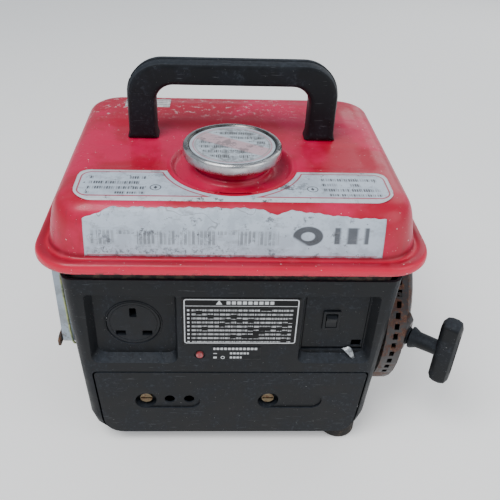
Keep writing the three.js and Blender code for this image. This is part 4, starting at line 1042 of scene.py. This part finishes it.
class GENERATOR_OT_small_parts(GeneratorOperator, bpy.types.Operator):
    """Torn film, earth lead, and screw heads on the covers"""
    bl_idname = "generator.small_parts"
    bl_label = "Small parts"

    def execute(self, context):
        film = Finish("loose_film", (0.34, 0.36, 0.38), rough=0.3, metal=0.3)
        film.patches((0.10, 0.10, 0.10), 0.7, 0.45, 0.65, 2.5, 4)
        film.bump(film.noise(1.2, 2), 0.06)
        # A torn strip of the plate's protective film: x and z run down out of the slot along
        # a line, y leans outwards as a sine, and the width narrows to a point.
        t = np.linspace(0, 1, 30)[:, None]
        w = np.linspace(-1, 1, 7)[None]
        width = 3.4 * (1 - 0.82 * t ** 1.5)
        x = 99.0 + 9.0 * t + width * w * 0.9
        y = 7.4 - 3.8 * np.sin(2.4 * t) + 0.8 * w * np.sin(3 * t)
        z = 115.0 - 9.5 * t + 1.6 * np.sin(4.5 * t) + width * w * 0.35
        mesh = grid_mesh("loose_film", np.stack([x, y, z], -1))
        obj = piece("loose_film", mesh, film.done(), "frame", 60)
        thicken(obj, "film", 0.0002, 0)
        earth = Finish("earth_lead", (0.40, 0.44, 0.16), rough=0.42)
        earth.patches((0.16, 0.26, 0.22), 0.6, 0.4, 0.7, 14, 3, shift=3)
        earth.patches((0.10, 0.09, 0.06), 0.6, 0.5, 0.7, 4, 4)
        earth.bump(earth.noise(1, 2), 0.02)
        path = smooth_path([(-136.4, 58, 182), (-140.0, 34, 180), (-140.5, 27, 172),
                            (-139.8, 26.4, 140), (-139.0, 27, 112), (-138.0, 30, 98),
                            (-134, 44, 90), (-131, 59, 88)], 48)
        closed("earth_lead", pipe_points(path, 1.0, 12), "button_red", earth.done())
        # Screw heads: a low dome turned about the screw's axis, on the side the cover faces.
        shaft_y, shaft_z = 112, 107
        heads = [((x, shaft_y + r * math.cos(a), shaft_z + r * math.sin(a)), (1, 0, 0))
                 for x, r, turns in ((158.6, 62, (35, 125, 215, 305)),
                                     (153.1, 88, (50, 128, 232, 310)))
                 for a in np.radians(turns)]
        heads += [((-148.1, y, z), (-1, 0, 0)) for y in (42, 178) for z in (101.5, 179.5)]
        heads += [((x, 139.3, 268), (0, 1, 0)) for x in (-77.4, 77.4)]
        for k, (at, n) in enumerate(heads):
            self.head("cover_bolt_%02d" % k, np.array(at), np.array(n, float))
        return {"FINISHED"}

    @staticmethod
    def head(name, at, n):
        """A domed head: radius falls as the cosine and height grows as the sine."""
        a = np.cross(n, (0, 0, 1.0))
        b = np.cross(n, a)
        t = np.linspace(0, np.pi / 2, 6)
        r = np.r_[3.4, 3.4 * np.cos(t) + 0.02]
        h = np.r_[-0.4, 1.5 * np.sin(t) ** 0.8]
        pts = turned(at, n, a, b, r, h, 18)
        closed(name, pts, "brass_fittings")


# ---- starter
PULL_FROM = np.array([161.0, 30.0, 108.0])
PULL_ANGLE = math.radians(35)
PULL = np.array([math.cos(PULL_ANGLE), -math.sin(PULL_ANGLE), 0.0])


class GENERATOR_OT_starter(GeneratorOperator, bpy.types.Operator):
    """Carry over the fan shroud, the recoil starter and its rope and grip"""
    bl_idname = "generator.starter"
    bl_label = "Hand starter"

    def execute(self, context):
        e = sizes().edge
        for node in ("fan_shroud", "recoil_cover"):
            carried(node, bevel=e, smooth_deg=40)
        carried("rope_guide", bevel=e * 0.5, smooth_deg=45)
        carried("starter_grip", bevel=e * 2.2, smooth_deg=45)
        for node in ("starter_reel", "rope_winding", "recoil_spring", "starter_rope",
                     "flywheel_fan", "ignition_coil"):
            carried(node, smooth_deg=35)
        # The rope between the guide and the grip, laid straight along the pull.
        s = np.linspace(-4.5, 30, 40)
        path = PULL_FROM + s[:, None] * PULL
        mesh = close_ends(grid_mesh("pull_rope", pipe_points(path, 1.55, 14), wrap_u=True))
        rope = bpy.data.objects.new("pull_rope", mesh)
        bpy.context.scene.collection.objects.link(rope)
        mesh.materials.append(finish_for("rope"))
        mesh.shade_smooth()
        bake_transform(rope)
        return {"FINISHED"}


class GENERATOR_OT_running_gear(GeneratorOperator, bpy.types.Operator):
    """Carry over the engine, the generator windings, the fuel system, the exhaust and feet"""
    bl_idname = "generator.running_gear"
    bl_label = "Running gear"

    def execute(self, context):
        e = sizes().edge
        soft = {"air_cleaner_case", "air_cleaner_cover", "silencer_guard", "base_tray",
                "tank_stay_left", "tank_stay_right", "choke_lever", "engine_mount",
                "foot_front_right", "foot_front_left", "foot_back_left", "foot_back_right",
                "alternator_cover", "silencer", "crankcase", "carburettor", "plug_cap"}
        for node in frame["nodes"]:
            if node not in HANDLED:
                carried(node, bevel=e if node in soft else 0.0, smooth_deg=38)
        return {"FINISHED"}


# ---- stage
class GENERATOR_OT_stage(GeneratorOperator, bpy.types.Operator):
    """Add the pale floor, the soft studio light and the camera"""
    bl_idname = "generator.stage"
    bl_label = "Stage"

    def execute(self, context):
        scene = context.scene
        mesh = bpy.data.meshes.new("studio_floor")
        g = np.array([(-6, -6, 0), (6, -6, 0), (6, 6, 0), (-6, 6, 0)], float)
        mesh.from_pydata(g.tolist(), [], [(0, 1, 2, 3)])
        floor = bpy.data.objects.new("studio_floor", mesh)
        scene.collection.objects.link(floor)
        pale = bpy.data.materials.new("studio_floor")
        pale.use_nodes = True
        inputs = pale.node_tree.nodes["Principled BSDF"].inputs
        inputs["Base Color"].default_value = (0.95, 0.94, 0.92, 1)
        inputs["Roughness"].default_value = 0.9
        inputs["Emission Color"].default_value = (1, 1, 1, 1)
        inputs["Emission Strength"].default_value = 0.26
        mesh.materials.append(pale)
        world = bpy.data.worlds.new("studio")
        scene.world = world
        world.use_nodes = True
        inputs = world.node_tree.nodes["Background"].inputs
        inputs["Color"].default_value = (0.84, 0.94, 1.06, 1)
        inputs["Strength"].default_value = 0.42
        self.area("key_light", (-0.6, -0.7, 1.7), 27, 0.9)
        self.area("fill_light", (1.2, -0.9, 0.9), 9, 1.2)
        self.area("back_light", (1.1, 1.3, 1.1), 9, 1.4)
        self.camera(scene)
        return {"FINISHED"}

    @staticmethod
    def area(name, at, power, size):
        """A square soft light, aimed at the middle of the machine."""
        light = bpy.data.lights.new(name, "AREA")
        light.energy, light.size = power, size
        obj = bpy.data.objects.new(name, light)
        obj.location = at
        aim = Vector((0, 0, 0.15)) - Vector(at)
        obj.rotation_euler = aim.to_track_quat("-Z", "Y").to_euler()
        bpy.context.scene.collection.objects.link(obj)

    @staticmethod
    def camera(scene):
        """Stands in front and above, pitched 34 degrees down with a slight turn and roll."""
        pitch, yaw, roll = (math.radians(v) for v in (33.91, 2.6, -2.02))
        level = math.cos(pitch)
        forward = Vector((math.sin(yaw) * level, math.cos(yaw) * level, -math.sin(pitch)))
        right = Vector((math.cos(yaw), -math.sin(yaw), 0))
        down = forward.cross(right)
        across = math.cos(roll) * right + math.sin(roll) * down
        fall = -math.sin(roll) * right + math.cos(roll) * down
        data = bpy.data.cameras.new("camera")
        data.sensor_width = 36
        data.lens = 44.79
        data.shift_x, data.shift_y = 0.0326, -0.0263
        data.clip_start = 0.01
        cam = bpy.data.objects.new("camera", data)
        turn = Matrix((across, -fall, -forward)).transposed().to_4x4()
        cam.matrix_world = Matrix.Translation(Vector(row([-18.07, -381.43, 490.15]))) @ turn
        scene.collection.objects.link(cam)
        scene.camera = cam


OPERATORS = (GENERATOR_OT_stage, GENERATOR_OT_tank, GENERATOR_OT_tank_labels, GENERATOR_OT_cap,
             GENERATOR_OT_handle, GENERATOR_OT_control_box, GENERATOR_OT_small_parts,
             GENERATOR_OT_starter, GENERATOR_OT_running_gear)


class VIEW3D_PT_generator(bpy.types.Panel):
    """Lists the generator's building steps"""
    bl_idname = "VIEW3D_PT_generator"
    bl_label = "Generator"
    bl_space_type = "VIEW_3D"
    bl_region_type = "UI"
    bl_category = "Generator"

    def draw(self, context):
        layout = self.layout
        for group in (context.scene.generator_sizes, context.scene.generator_colours):
            for name in group.__annotations__:
                layout.prop(group, name)
        for op in OPERATORS:
            layout.operator(op.bl_idname)


CLASSES = (GeneratorColours, GeneratorSizes) + OPERATORS + (VIEW3D_PT_generator,)


def register():
    for cls in CLASSES:
        bpy.utils.register_class(cls)
    bpy.types.Scene.generator_colours = PointerProperty(type=GeneratorColours)
    bpy.types.Scene.generator_sizes = PointerProperty(type=GeneratorSizes)


def unregister():
    del bpy.types.Scene.generator_sizes
    del bpy.types.Scene.generator_colours
    for cls in reversed(CLASSES):
        bpy.utils.unregister_class(cls)


def main():
    """Registers the classes and runs each building step in order."""
    register()
    for op in OPERATORS:
        group, name = op.bl_idname.split(".")
        getattr(getattr(bpy.ops, group), name)()


if __name__ == "__main__":
    main()
